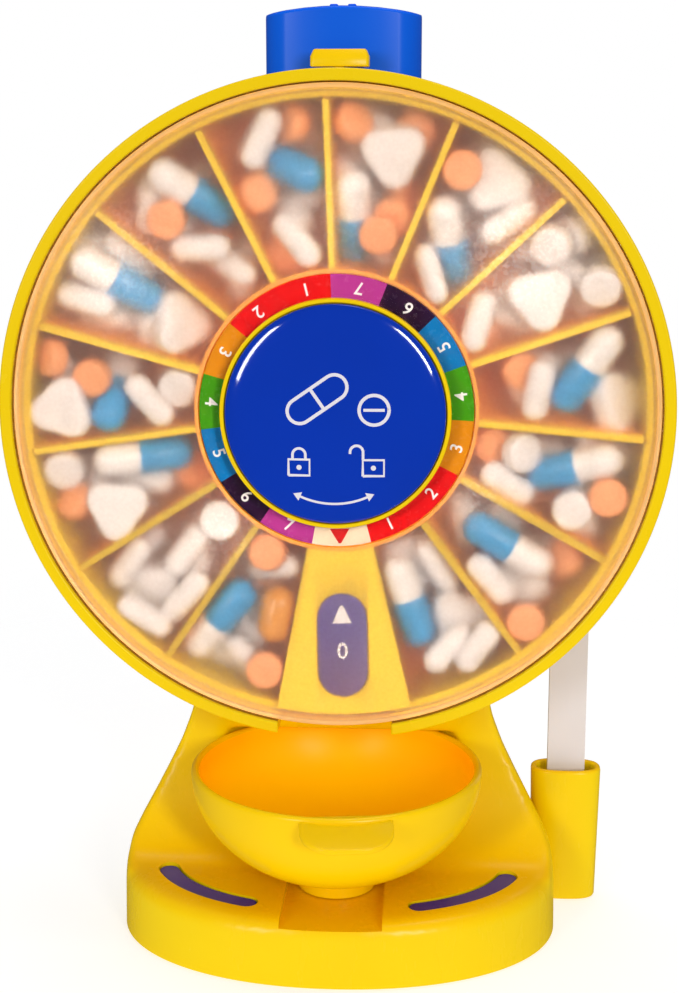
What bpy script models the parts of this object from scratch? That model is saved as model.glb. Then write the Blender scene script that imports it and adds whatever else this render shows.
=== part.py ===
"""Wheel pill dispenser: a drum on an oval stand, a fifteen-sector wheel, a lever that indexes it, and a bowl.

Metres, +Z up, the front towards -Y. Depths are counted from the drum's front rim, positive to the back.
"""

import bpy
import bmesh
from math import asin, atan2, cos, pi, radians, sin, sqrt, tan
from mathutils import Euler, Matrix, Vector

# Clearances, cuts and counts
GAP = 0.0003
RUNNING_GAP = 0.0001
SWEEP_GAP = 0.0004
OVERRUN = 0.003
WELD = 0.000001
ROUND_STEPS = 2
FINE, MEDIUM, COARSE, SMALL = 64, 40, 20, 10

# Drum
DRUM_RADIUS = 0.070
DRUM_LIFT = 0.0083
DRUM_DEPTH = 0.026
RIM_WALL = 0.0025
RIM_ROUND = 0.0008
REAR_ROUND = 0.0020
LEDGE_DEPTH = 0.0047
LEDGE_WIDTH = 0.0056
BACK_WALL = 0.0024
OUTLET_WIDTH = 0.0242
OUTLET_DEPTH = 0.0205

# Cover
COVER_WALL = 0.0014
COVER_EDGE_DEPTH = 0.0012
COVER_CENTRE_DEPTH = 0.0052
COVER_BAND = 0.0014
COVER_ROUND = 0.0005
WINDOW_RADIUS = 0.030

# Wheel
SECTORS = 15
WHEEL_TURN = radians(1.7)
DIVIDER = 0.0013
FLOOR_WALL = 0.0014
FLOOR_GAP = 0.0004
HUB_WALL = 0.0014
HUB_MOUTH = 0.021
HUB_LIP = 0.0008
RING_INNER = 0.0238
RING_OUTER = 0.0289
RING_WALL = 0.0006
PLATE_LAP = 0.0012
PLATE_WALL = 0.0012
PLATE_MARGIN = 0.0009
LABEL_LENGTH_SHARE = 0.662
LABEL_WIDTH = 0.0106
LABEL_WALL = 0.0005
LABEL_PLACE_SHARE = 0.597

# Axle and ratchet
AXLE_RADIUS = 0.003
AXLE_HEAD_RADIUS = 0.0055
AXLE_HEAD_WALL = 0.0014
AXLE_NOSE_RADIUS = 0.0024
TUBE_RADIUS = 0.006
LOCK_BAR_LENGTH = 0.011
LOCK_BAR_WIDTH = 0.003
LOCK_BAR_WALL = 0.0015
RATCHET_TIP = 0.015
RATCHET_ROOT = 0.0124
RATCHET_WALL = 0.0034
RATCHET_GAP = 0.0008
RATCHET_PHASE = radians(6)
PAWL_PIN_RADIUS = 0.0014
PAWL_PIN_ACROSS = 0.016
PAWL_PIN_ABOVE = 0.0215
PAWL_EYE = 0.0029
PAWL_WIDTH = 0.0024
PAWL_TIP_ABOVE = 0.002
STOP_PAWL_STEPS = 8

# Knob
KNOB_RADIUS = 0.0242
KNOB_FLOOR = 0.0007
KNOB_LIP = 0.0009
KNOB_LIP_DEPTH = 0.0014
DOME_RADIUS = 0.02305
DOME_RISE = 0.0034
DOME_SHOULDER = 0.0013
STEM_RADIUS = 0.0066
STEM_LENGTH = 0.0022
CAM_RADIUS = 0.0094
CAM_FLOOR = 0.0012

# Rear housing and lever tower
HOUSING_RADIUS = 0.034
HOUSING_DEPTH = 0.0177
HOUSING_WALL = 0.002
HOUSING_ROUND = 0.0025
TOWER_WIDTH = 0.0382
TOWER_SINK = 0.008
SHELF_RISE = 0.030
SHELF_WALL = 0.0025
SHELF_WIDTH = 0.0085
SOCKET_RADIUS = 0.006
SOCKET_LENGTH = 0.006
SCREW_CIRCLE = 0.027
SCREW_HEAD = 0.0026
SCREW_HEAD_WALL = 0.0014
SCREW_SHANK = 0.0012
SCREW_BITE = 0.0015
SCREW_BOSS = 0.0034

# Press lever
LEVER_WIDTH = 0.0336
LEVER_RISE = 0.0138
LEVER_HEIGHT = 0.0358
LEVER_WALL = 0.0018
LEVER_CROWN = 0.0017
LEVER_BULGE = 0.002
LEVER_CORNER = 0.005
LEVER_HEEL = 0.0012
LEVER_SHARES = (-0.67, -0.33, 0, 0.33, 0.67)
LEVER_EDGE = 0.0008
RIB_WIDTH = 0.0018
RIB_RISE = 0.0006
RIB_SPACING = 0.0039
POST_RADIUS = 0.0055
POST_SINK = 0.0238
ARM_WIDTH = 0.003
ARM_WALL = 0.0024
ARM_INSET = 0.0026
SPRING_RADIUS = 0.0042
SPRING_WIRE = 0.00045
SPRING_TURNS = 7

# Latch tab
LATCH_WIDTH = 0.0123
LATCH_TOP_WIDTH = 0.0110
LATCH_DEPTH = 0.006
LATCH_HEIGHT = 0.0036
LATCH_CREASE = 0.0021
LATCH_LEAN = 0.0012
LATCH_LIFT = 0.0009
LATCH_FOOT = 0.0016

# Stand
BASE_DEPTH_CENTRE = 0.0186
BASE_HALF_WIDTH = 0.0489
BASE_HALF_DEPTH = 0.0351
BASE_FLARE = 0.0003
BASE_HEIGHT = 0.015
BASE_ROUND = 0.0035
BASE_POWER = 2.1
BASE_WALL = 0.0022
FOOT_PROUD = 0.0006
RAMP_START = 0.010
RAMP_RISE = 0.0023
NECK_DROP = 0.016
NECK_WALL = 0.0028
NECK_REAR = 0.044
NECK_POWER = 3.1
NECK_WIDTH_SHARE = 0.91
CRADLE_GAP = 0.0009
CRADLE_STEPS = 8
CHANNEL_WIDTH = 0.0218
CHANNEL_DEPTH = 0.0017
CHANNEL_BACK = 0.022
COLUMN_SCREW_ACROSS = 0.018
COLUMN_SCREW_SHARE = 0.6

# Inlaid pads
PAD_SIDE_INSET = 0.0093
PAD_FRONT_INSET = 0.00765
PAD_WIDTH = 0.0043
PAD_WALL = 0.0008
PAD_SUNK = 0.0003
PAD_FROM = 0.0186
PAD_END_INSET = 0.011
PAD_TO = BASE_HALF_WIDTH - PAD_END_INSET

# Base plate, feet and screws
PLATE_THICKNESS = 0.0018
FOOT_RADIUS = 0.004
FOOT_SUNK = 0.001
FOOT_SIDE_INSET = 0.0159
FOOT_ACROSS = BASE_HALF_WIDTH - FOOT_SIDE_INSET
FOOT_AHEAD = 0.015
BASE_SCREW_ACROSS = 0.019
BASE_SCREW_AHEAD = 0.0235
BASE_SCREW_LENGTH = 0.007
BASE_SCREW_HEAD_WALL = 0.0011

# Bowl
BOWL_DEPTH = 0.008
BOWL_RADIUS = 0.0319
BOWL_RIM = 0.0417
BOWL_WALL = 0.0017
BOWL_FOOT_RADIUS = 0.0086
BOWL_FOOT = 0.0023
BOWL_STEPS = 8
TAB_HALF_WIDTH = 0.0096
TAB_REACH = 0.0079
TAB_CORNER = 0.0066
TAB_WALL = 0.0014
TAB_LEAN = radians(15)
TAB_TURN = radians(7)
TAB_DROP = 0.0012
TAB_ROOT = 0.0034
TAB_STEPS = 6

# Scoop and its holder
HOLDER_APART = 0.0033
HOLDER_ACROSS = BASE_HALF_WIDTH + HOLDER_APART
HOLDER_DEPTH = 0.0345
HOLDER_HALF_WIDTH = 0.0081
HOLDER_HALF_DEPTH = 0.0048
HOLDER_TAPER = 0.0006
HOLDER_WALL = 0.0014
HOLDER_RIM = 0.0324
HOLDER_BOTTOM = 0.0004
HOLDER_FLOOR = 0.0018
HOLDER_ROUND = 0.0014
HOLDER_POWER = 2.6
TONGUE_HEIGHT = 0.004
TONGUE_FRONT = 0.006
TONGUE_REACH = 0.0072
STICK_WIDTH = 0.0086
STICK_WALL = 0.0024
STICK_TOP = 0.1364
STICK_ROUND = 0.0014
SPOON_HALF_WIDTH = 0.0064
SPOON_HALF_LENGTH = 0.0112
SPOON_DEPTH = 0.0045
SPOON_WALL = 0.0013

# Sizes that follow from those above
TAB_ARM = BOWL_RADIUS + TAB_REACH * cos(TAB_LEAN)
TAB_SPREAD = TAB_HALF_WIDTH - TAB_CORNER
FRONT_MOST = BOWL_DEPTH - TAB_ARM * cos(TAB_TURN) - TAB_SPREAD * sin(TAB_TURN)
REAR_MOST = BASE_DEPTH_CENTRE + BASE_HALF_DEPTH + BASE_FLARE
MIDDLE = (FRONT_MOST + REAR_MOST) / 2
PITCH = 2 * pi / SECTORS
AXIS_HEIGHT = BOWL_RIM + DRUM_LIFT + DRUM_RADIUS
CHAMBER_RADIUS = DRUM_RADIUS - LEDGE_WIDTH
WHEEL_RADIUS = CHAMBER_RADIUS - SWEEP_GAP
PLATE_RADIUS = WHEEL_RADIUS + PLATE_LAP
LABEL_LENGTH = LABEL_LENGTH_SHARE * (WHEEL_RADIUS - WINDOW_RADIUS)
LABEL_RADIUS = WINDOW_RADIUS + LABEL_PLACE_SHARE * (WHEEL_RADIUS - WINDOW_RADIUS)
TOWER_TOP = AXIS_HEIGHT + DRUM_RADIUS - TOWER_SINK
SHELF_HEIGHT = AXIS_HEIGHT + SHELF_RISE
LEVER_TOP = AXIS_HEIGHT + DRUM_RADIUS + LEVER_RISE
LEVER_BOTTOM = LEVER_TOP - LEVER_HEIGHT
POST_BOTTOM = LEVER_TOP - POST_SINK
RAMP_TOP = BOWL_RIM + RAMP_RISE
NECK_TOP = AXIS_HEIGHT - NECK_DROP
POCKET_BOTTOM = BOWL_RIM + DRUM_LIFT + GAP
POCKET_TOP = AXIS_HEIGHT - HOUSING_RADIUS - NECK_WALL
COLUMN_SCREW_HEIGHT = POCKET_BOTTOM + COLUMN_SCREW_SHARE * (POCKET_TOP - POCKET_BOTTOM)
COVER_RADIUS = DRUM_RADIUS - RIM_WALL - GAP
BAND_RADIUS = COVER_RADIUS - COVER_BAND
CHAMBER_BACK = DRUM_DEPTH - BACK_WALL
WHEEL_BACK = CHAMBER_BACK - FLOOR_GAP
WHEEL_FLOOR = WHEEL_BACK - FLOOR_WALL
RING_DEPTH = COVER_CENTRE_DEPTH + COVER_WALL + GAP
HUB_FRONT = RING_DEPTH + RING_WALL + RUNNING_GAP
CAM_FRONT = COVER_CENTRE_DEPTH + COVER_WALL + GAP
LOCK_BAR_DEPTH = CAM_FRONT + STEM_LENGTH - COVER_WALL + GAP - RUNNING_GAP
CAM_FLOOR_DEPTH = LOCK_BAR_DEPTH + LOCK_BAR_WALL + SWEEP_GAP
CAM_BACK = CAM_FLOOR_DEPTH + CAM_FLOOR
AXLE_HEAD_DEPTH = CAM_BACK + SWEEP_GAP
BOSS_DEPTH = AXLE_HEAD_DEPTH + AXLE_HEAD_WALL + GAP
RATCHET_DEPTH = DRUM_DEPTH + RATCHET_GAP
RATCHET_BACK = RATCHET_DEPTH + RATCHET_WALL
HOUSING_FRONT = DRUM_DEPTH + GAP
HOUSING_BACK = HOUSING_FRONT + HOUSING_DEPTH
HOUSING_FLOOR = HOUSING_BACK - HOUSING_WALL
TOWER_INSIDE = TOWER_WIDTH / 2 - HOUSING_WALL
LEVER_FRONT = DRUM_DEPTH + SWEEP_GAP
LEVER_BACK = HOUSING_FLOOR - SWEEP_GAP
LEVER_ROOF = LEVER_TOP - LEVER_CROWN - LEVER_WALL
SPRING_DEPTH = (LEVER_FRONT + LEVER_BACK) / 2
FLOOR_OF_CHANNEL = BASE_HEIGHT - CHANNEL_DEPTH
PAWL_PIN_HEIGHT = AXIS_HEIGHT + PAWL_PIN_ABOVE

# Colours: red, green, blue
YELLOW = (0.93, 0.62, 0.0)
BLUE = (0.006, 0.08, 0.55)
DOME_BLUE = (0.0, 0.03, 0.34)
PURPLE = (0.075, 0.045, 0.16)
LABEL_PURPLE = (0.13, 0.08, 0.30)
CLEAR = (0.92, 0.86, 0.78)
WHITE = (0.80, 0.77, 0.74)
RED = (0.60, 0.02, 0.03)
STEEL = (0.55, 0.55, 0.56)
BLACK = (0.02, 0.02, 0.02)


def clear_scene():
    for old in list(bpy.data.objects):
        bpy.data.objects.remove(old, do_unlink=True)


def material(name, colour, roughness, metallic):
    made = bpy.data.materials.new(name)
    made.use_nodes = True
    shader = made.node_tree.nodes["Principled BSDF"]
    shader.inputs["Base Color"].default_value = (*colour, 1)
    shader.inputs["Roughness"].default_value = roughness
    shader.inputs["Metallic"].default_value = metallic
    made.diffuse_color = (*colour, 1)
    return made


def place(across, depth, height):
    return Vector((across, depth - MIDDLE, height))


def add(name, bm, at, colour=None, roughness=0.35, metallic=0.0, turn=(0, 0, 0)):
    """An object from a bmesh; without a colour it is a tool that only shapes another piece."""
    bmesh.ops.recalc_face_normals(bm, faces=bm.faces)
    mesh = bpy.data.meshes.new(name)
    bm.to_mesh(mesh)
    bm.free()
    mesh.shade_smooth()
    mesh.set_sharp_from_angle(angle=radians(32))
    made = bpy.data.objects.new(name, mesh)
    made.location = at
    made.rotation_euler = Euler(turn)
    bpy.context.scene.collection.objects.link(made)
    if colour:
        mesh.materials.append(material(name, colour, roughness, metallic))
    else:
        made.hide_render = True
        made.display_type = "WIRE"
    return made


def combine(target, tool, operation):
    step = target.modifiers.new(operation.lower() + " " + tool.name, "BOOLEAN")
    step.operation = operation
    step.solver = "EXACT"
    step.object = tool


def cut(target, *tools):
    for tool in tools:
        combine(target, tool, "DIFFERENCE")


def join(target, *tools):
    for tool in tools:
        combine(target, tool, "UNION")


def rounded(corners, steps=ROUND_STEPS):
    """A closed outline from corners (across, up, radius), each rounded by its radius."""
    outline = []
    for index, (across, up, radius) in enumerate(corners):
        here = Vector((across, up))
        if not radius:
            outline.append(here)
            continue
        back = (Vector(corners[index - 1][:2]) - here).normalized()
        ahead = (Vector(corners[(index + 1) % len(corners)][:2]) - here).normalized()
        half = back.angle(ahead) / 2
        centre = here + (back + ahead).normalized() * (radius / sin(half))
        start = here + back * (radius / tan(half)) - centre
        finish = here + ahead * (radius / tan(half)) - centre
        sweep = start.angle_signed(finish)
        for step in range(steps + 1):
            turned = start.copy()
            turned.rotate(Matrix.Rotation(-sweep * step / steps, 2))
            outline.append(centre + turned)
    return outline


def arc(radius, start, finish, steps, centre=(0, 0)):
    angles = [start + (finish - start) * step / steps for step in range(steps + 1)]
    return [Vector((centre[0] + radius * cos(a), centre[1] + radius * sin(a))) for a in angles]


def oval(half_width, half_depth, power, count):
    """A superellipse: power 2 is an ellipse and a higher power is squarer."""
    outline = []
    for step in range(count):
        angle = 2 * pi * step / count
        across, along = cos(angle), sin(angle)
        size = (abs(across) ** power + abs(along) ** power) ** (-1 / power)
        outline.append(Vector((half_width * across * size, half_depth * along * size)))
    return outline


def revolve(profile, segments, upright=False):
    """A profile of (radius, distance along the axis) turned about Y, or about Z when upright."""
    bm = bmesh.new()
    axis = (0, 0, 1) if upright else (0, 1, 0)
    verts = [bm.verts.new((r, 0, h) if upright else (r, h, 0)) for r, h in profile]
    on_axis = profile[0][0] == 0
    ends = verts[1:] if on_axis else verts[1:] + verts[:1]
    edges = [bm.edges.new(pair) for pair in zip(verts, ends)]
    bmesh.ops.spin(bm, geom=verts + edges, cent=(0, 0, 0), axis=axis, angle=2 * pi, steps=segments,
                   use_merge=True)
    bmesh.ops.remove_doubles(bm, verts=bm.verts, dist=WELD)
    return bm


def loft(rings):
    """A closed skin over rings of equal count, capped at both ends."""
    bm = bmesh.new()
    rows = [[bm.verts.new(point) for point in ring] for ring in rings]
    for lower, upper in zip(rows, rows[1:]):
        for index in range(len(lower)):
            after = (index + 1) % len(lower)
            bm.faces.new((lower[index], lower[after], upper[after], upper[index]))
    bm.faces.new(rows[0])
    bm.faces.new(rows[-1])
    return bm


def prism(outline, low, high, upright=False):
    """An outline (across, up) run from one depth to another, or (across, depth) run up when upright."""
    def ring(level):
        return [Vector((a, b, level)) if upright else Vector((a, level, b)) for a, b in outline]
    return loft([ring(low), ring(high)])


def gather(shapes):
    """Several shapes (bmesh, place) as one tool."""
    together = bmesh.new()
    for bm, at in shapes:
        bmesh.ops.translate(bm, vec=at, verts=bm.verts)
        mesh = bpy.data.meshes.new("shape")
        bm.to_mesh(mesh)
        bm.free()
        together.from_mesh(mesh)
        bpy.data.meshes.remove(mesh)
    return together


def box(across, depth, height):
    """A block from (low, high) pairs."""
    corners = [Vector((across[i], depth[j])) for i, j in ((0, 0), (1, 0), (1, 1), (0, 1))]
    return prism(corners, height[0], height[1], upright=True)


def rod(radius, low, high, segments=SMALL, upright=False):
    return revolve([(0, low), (radius, low), (radius, high), (0, high)], segments, upright)


def cover_front(radius):
    share = (BAND_RADIUS - radius) / (BAND_RADIUS - WINDOW_RADIUS)
    return COVER_EDGE_DEPTH + share * (COVER_CENTRE_DEPTH - COVER_EDGE_DEPTH)


def wheel_front(radius):
    return cover_front(radius) + COVER_WALL + SWEEP_GAP


def drum_casing():
    """The cake tin that the wheel runs in: a stepped rim, a chamber, and the outlet at the bottom."""
    inside = DRUM_RADIUS - RIM_WALL
    hole = TUBE_RADIUS + SWEEP_GAP
    profile = rounded([
        (hole, DRUM_DEPTH, 0), (hole, CHAMBER_BACK, 0), (CHAMBER_RADIUS, CHAMBER_BACK, 0),
        (CHAMBER_RADIUS, LEDGE_DEPTH, 0), (inside, LEDGE_DEPTH, 0), (inside, 0, RIM_ROUND / 2),
        (DRUM_RADIUS, 0, RIM_ROUND), (DRUM_RADIUS, DRUM_DEPTH, REAR_ROUND),
    ])
    casing = add("drum_casing", revolve(profile, FINE), place(0, 0, AXIS_HEIGHT), YELLOW)
    half = OUTLET_WIDTH / 2
    tool = box((-half, half), (-OVERRUN, OUTLET_DEPTH), (-DRUM_RADIUS - OVERRUN, -CHAMBER_RADIUS + OVERRUN))
    cut(casing, add("outlet_cut", tool, place(0, 0, AXIS_HEIGHT)))
    holes = []
    for spot in screw_spots():
        hole = rod(SCREW_SHANK + RUNNING_GAP, DRUM_DEPTH - SCREW_BITE - GAP, DRUM_DEPTH + OVERRUN)
        holes.append((hole, (spot[0], 0, spot[1])))
    cut(casing, add("casing_holes", gather(holes), place(0, 0, 0)))


def screw_spots():
    """Centres (across, height) of the screws that reach the casing's back: three housing, two column."""
    around = [(SCREW_CIRCLE * cos(a), AXIS_HEIGHT + SCREW_CIRCLE * sin(a)) for a in (0, pi, -pi / 2)]
    return around + [(side * COLUMN_SCREW_ACROSS, COLUMN_SCREW_HEIGHT) for side in (-1, 1)]


def front_cover():
    profile = rounded([
        (STEM_RADIUS + GAP, COVER_CENTRE_DEPTH, 0), (WINDOW_RADIUS, COVER_CENTRE_DEPTH, 0),
        (BAND_RADIUS, COVER_EDGE_DEPTH, 0), (COVER_RADIUS, COVER_EDGE_DEPTH, COVER_ROUND),
        (COVER_RADIUS, LEDGE_DEPTH - GAP, 0), (BAND_RADIUS, LEDGE_DEPTH - GAP, 0),
        (BAND_RADIUS, COVER_EDGE_DEPTH + COVER_WALL, 0),
        (WINDOW_RADIUS, COVER_CENTRE_DEPTH + COVER_WALL, 0),
        (STEM_RADIUS + GAP, COVER_CENTRE_DEPTH + COVER_WALL, 0),
    ])
    return add("front_cover", revolve(profile, FINE), place(0, 0, AXIS_HEIGHT), CLEAR, 0.3)


def wedge(middle, inner, outer, margin, low, high):
    """A sector one pitch wide whose sides lie parallel to its divider lines, a margin inside them."""
    def ring(radius, steps):
        half = PITCH / 2 - asin(margin / radius)
        return arc(radius, middle - half, middle + half, steps)
    return prism(ring(inner, 3) + ring(outer, 6)[::-1], low, high)


def sector_wheel():
    """The wheel: a hub, a floor and a solid cone that the pockets are cut out of, leaving the dividers."""
    lip = RING_OUTER + GAP
    profile = [
        (HUB_MOUTH, HUB_FRONT), (lip, HUB_FRONT), (lip, wheel_front(WINDOW_RADIUS)),
        (WINDOW_RADIUS, wheel_front(WINDOW_RADIUS)), (WHEEL_RADIUS, wheel_front(WHEEL_RADIUS)),
        (WHEEL_RADIUS, WHEEL_BACK), (TUBE_RADIUS, WHEEL_BACK), (TUBE_RADIUS, RATCHET_BACK + GAP),
        (AXLE_RADIUS + RUNNING_GAP, RATCHET_BACK + GAP), (AXLE_RADIUS + RUNNING_GAP, BOSS_DEPTH),
        (TUBE_RADIUS, BOSS_DEPTH), (TUBE_RADIUS, WHEEL_FLOOR), (WINDOW_RADIUS - HUB_WALL, WHEEL_FLOOR),
        (WINDOW_RADIUS - HUB_WALL, HUB_FRONT + HUB_WALL), (HUB_MOUTH, HUB_FRONT + HUB_WALL),
    ]
    at, turn = place(0, 0, AXIS_HEIGHT), (0, -WHEEL_TURN, 0)
    wheel = add("sector_wheel", revolve(profile, FINE), at, YELLOW, turn=turn)
    pockets = []
    for index in range(SECTORS):
        low = wheel_front(WHEEL_RADIUS) - OVERRUN
        high = WHEEL_FLOOR
        if index == 0:
            low = wheel_front(WINDOW_RADIUS) + PLATE_WALL
        middle = -pi / 2 + index * PITCH
        one = wedge(middle, WINDOW_RADIUS, WHEEL_RADIUS + OVERRUN, DIVIDER / 2, low, high)
        pockets.append((one, (0, 0, 0)))
    cut(wheel, add("pocket_cut", gather(pockets), at, turn=turn))
    join(wheel, start_plate(at, turn))
    cut(wheel, add("label_cut", label_shape(GAP, OVERRUN), *label_place(LABEL_WALL + RUNNING_GAP)))
    return wheel


def start_plate(at, turn):
    """The closed sector's cover plate: a slice of a cone that also laps over the casing's ledge."""
    inner, outer = WINDOW_RADIUS - HUB_LIP, PLATE_RADIUS
    profile = [
        (inner, wheel_front(inner)), (outer, wheel_front(outer)),
        (outer, wheel_front(outer) + PLATE_WALL), (inner, wheel_front(inner) + PLATE_WALL),
    ]
    plate = add("start_plate", revolve(profile, FINE), at, turn=turn)
    slice_of = wedge(-pi / 2, inner - OVERRUN, outer + OVERRUN, -PLATE_MARGIN, -OVERRUN, DRUM_DEPTH)
    combine(plate, add("start_slice", slice_of, at, turn=turn), "INTERSECT")
    return plate


def label_shape(extra, rise):
    """A rounded strip, its back on the origin's plane and its front facing the viewer."""
    half, reach = LABEL_WIDTH / 2 + extra, LABEL_LENGTH / 2 - LABEL_WIDTH / 2
    outline = arc(half, 0, pi, 10, (0, reach)) + arc(half, pi, 2 * pi, 10, (0, -reach))
    return prism(outline, -rise, 0)


def label_place(sunk):
    """Where the label's back lies: on the closed sector's cone, sunk below its face."""
    slope = atan2(COVER_CENTRE_DEPTH - COVER_EDGE_DEPTH, BAND_RADIUS - WINDOW_RADIUS)
    local = Vector((0, wheel_front(LABEL_RADIUS) + sunk, -LABEL_RADIUS))
    local.rotate(Euler((0, -WHEEL_TURN, 0)))
    turned = (Matrix.Rotation(-WHEEL_TURN, 3, "Y") @ Matrix.Rotation(-slope, 3, "X")).to_euler()
    return place(0, 0, AXIS_HEIGHT) + local, None, 0.35, 0.0, tuple(turned)


def start_label():
    at, _, roughness, metallic, turn = label_place(LABEL_WALL)
    shape = label_shape(0, LABEL_WALL - RUNNING_GAP)
    return add("start_label", shape, at, LABEL_PURPLE, roughness, metallic, turn)


def number_ring():
    high = RING_DEPTH + RING_WALL
    profile = [(RING_INNER, RING_DEPTH), (RING_OUTER, RING_DEPTH), (RING_OUTER, high), (RING_INNER, high)]
    at, turn = place(0, 0, AXIS_HEIGHT), (0, -WHEEL_TURN, 0)
    return add("number_ring", revolve(profile, FINE), at, RED, 0.25, turn=turn)


def ratchet_wheel():
    """Saw teeth, one for each sector, with radial faces that the drive pawl pushes down on."""
    outline = []
    for index in range(SECTORS):
        angle = RATCHET_PHASE + index * PITCH
        outline.append(Vector((RATCHET_TIP * cos(angle), RATCHET_TIP * sin(angle))))
        outline.append(Vector((RATCHET_ROOT * cos(angle), RATCHET_ROOT * sin(angle))))
        middle = angle + PITCH / 2
        radius = (RATCHET_TIP + RATCHET_ROOT) / 2
        outline.append(Vector((radius * cos(middle), radius * sin(middle))))
    at = place(0, 0, AXIS_HEIGHT)
    wheel = add("ratchet_wheel", prism(outline, RATCHET_DEPTH, RATCHET_BACK), at, WHITE, 0.4)
    bore = rod(TUBE_RADIUS + RUNNING_GAP, RATCHET_DEPTH - OVERRUN, RATCHET_BACK + OVERRUN, COARSE)
    cut(wheel, add("ratchet_bore", bore, at))
    return wheel


def axle_pin():
    """The fixed axle: its head holds the wheel and its cross bar is what the knob locks on."""
    end = HOUSING_FLOOR - GAP
    profile = [
        (0, LOCK_BAR_DEPTH), (AXLE_NOSE_RADIUS, LOCK_BAR_DEPTH), (AXLE_NOSE_RADIUS, AXLE_HEAD_DEPTH),
        (AXLE_HEAD_RADIUS, AXLE_HEAD_DEPTH), (AXLE_HEAD_RADIUS, AXLE_HEAD_DEPTH + AXLE_HEAD_WALL),
        (AXLE_RADIUS, AXLE_HEAD_DEPTH + AXLE_HEAD_WALL), (AXLE_RADIUS, end), (0, end),
    ]
    at = place(0, 0, AXIS_HEIGHT)
    axle = add("axle_pin", revolve(profile, COARSE), at, WHITE, 0.4)
    half, reach = LOCK_BAR_WIDTH / 2, LOCK_BAR_LENGTH / 2
    bar = box((-half, half), (LOCK_BAR_DEPTH, LOCK_BAR_DEPTH + LOCK_BAR_WALL), (-reach, reach))
    join(axle, add("lock_bar", bar, at))
    return axle


def knob():
    """A collar on the cover, the blue dome set into it, and the slotted cam behind the cover."""
    at = place(0, 0, AXIS_HEIGHT)
    back = COVER_CENTRE_DEPTH - GAP
    floor = back - KNOB_FLOOR
    lip = floor - KNOB_LIP_DEPTH
    stem = CAM_FRONT + STEM_LENGTH - COVER_WALL
    inside = KNOB_RADIUS - KNOB_LIP
    collar = rounded([
        (0, floor, 0), (inside, floor, 0), (inside, lip, KNOB_LIP / 3), (KNOB_RADIUS, lip, KNOB_LIP / 2),
        (KNOB_RADIUS, back, 0), (STEM_RADIUS, back, 0), (STEM_RADIUS, stem, 0), (0, stem, 0),
    ])
    add("knob_collar", revolve(collar, MEDIUM), at, YELLOW)
    base = floor - RUNNING_GAP
    shoulder = base - DOME_SHOULDER
    steps, crown = 4, DOME_RISE - DOME_SHOULDER
    angles = [pi / 2 * step / steps for step in range(steps)]
    rise = [(DOME_RADIUS * cos(a), shoulder - crown * sin(a)) for a in angles]
    dome = [(0, base), (DOME_RADIUS, base)] + rise + [(0, shoulder - crown)]
    add("knob_dome", revolve(dome, MEDIUM), at, DOME_BLUE, 0.2)
    lock_cam(at)


def lock_cam(at):
    bore = STEM_RADIUS + RUNNING_GAP
    profile = [(0, CAM_FLOOR_DEPTH), (bore, CAM_FLOOR_DEPTH), (bore, CAM_FRONT), (CAM_RADIUS, CAM_FRONT),
               (CAM_RADIUS, CAM_BACK), (0, CAM_BACK)]
    cam = add("lock_cam", revolve(profile, COARSE), at, WHITE, 0.4)
    half, reach = LOCK_BAR_WIDTH / 2 + SWEEP_GAP, LOCK_BAR_LENGTH / 2 + SWEEP_GAP
    depths = (CAM_FLOOR_DEPTH - GAP, CAM_BACK + OVERRUN)
    slot = box((-half, half), depths, (-reach, reach))
    hole = rod(AXLE_NOSE_RADIUS + SWEEP_GAP, depths[0], depths[1])
    cut(cam, add("cam_slot", slot, at), add("cam_hole", hole, at))


def pawl_shape():
    """A pawl about its pin: an eye and a finger that hangs down beside the ratchet's tips."""
    inner = RATCHET_TIP + SWEEP_GAP - PAWL_PIN_ACROSS
    low = PAWL_TIP_ABOVE - PAWL_PIN_ABOVE
    finger = [
        Vector((inner, low)), Vector((inner + PAWL_WIDTH / 2, low)),
        Vector((inner + PAWL_WIDTH, low + PAWL_WIDTH)), Vector((inner + PAWL_WIDTH, 0)), Vector((inner, 0)),
    ]
    return prism(finger, RATCHET_DEPTH, RATCHET_BACK), rod(PAWL_EYE, RATCHET_DEPTH, RATCHET_BACK)


def pawl_spot(turn):
    """A pawl's pin from the axle: at the drive side, or turned round by a whole number of teeth."""
    across = PAWL_PIN_ACROSS * cos(turn) - PAWL_PIN_ABOVE * sin(turn)
    return across, PAWL_PIN_ACROSS * sin(turn) + PAWL_PIN_ABOVE * cos(turn)


def pawl(name, turn):
    across, height = pawl_spot(turn)
    at, spin = place(across, 0, AXIS_HEIGHT + height), (0, -turn, 0)
    finger, eye = pawl_shape()
    made = add(name, eye, at, WHITE, 0.4, turn=spin)
    join(made, add(name + "_finger", finger, at, turn=spin))
    bore = rod(PAWL_PIN_RADIUS + RUNNING_GAP, RATCHET_DEPTH - OVERRUN, RATCHET_BACK + OVERRUN)
    cut(made, add(name + "_bore", bore, at, turn=spin))


def keyhole(radius, half_width, top):
    """The rear housing's outline, heights from the axle: a circle with a tower on it."""
    meet = asin(half_width / radius)
    turn = arc(radius, pi / 2 - meet, meet - 3 * pi / 2, 40)
    return turn + [Vector((-half_width, top)), Vector((half_width, top))]


def keyhole_ring(inset, depth):
    outline = keyhole(HOUSING_RADIUS - inset, TOWER_WIDTH / 2 - inset, TOWER_TOP - AXIS_HEIGHT)
    return [Vector((a, depth, b)) for a, b in outline]


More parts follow.
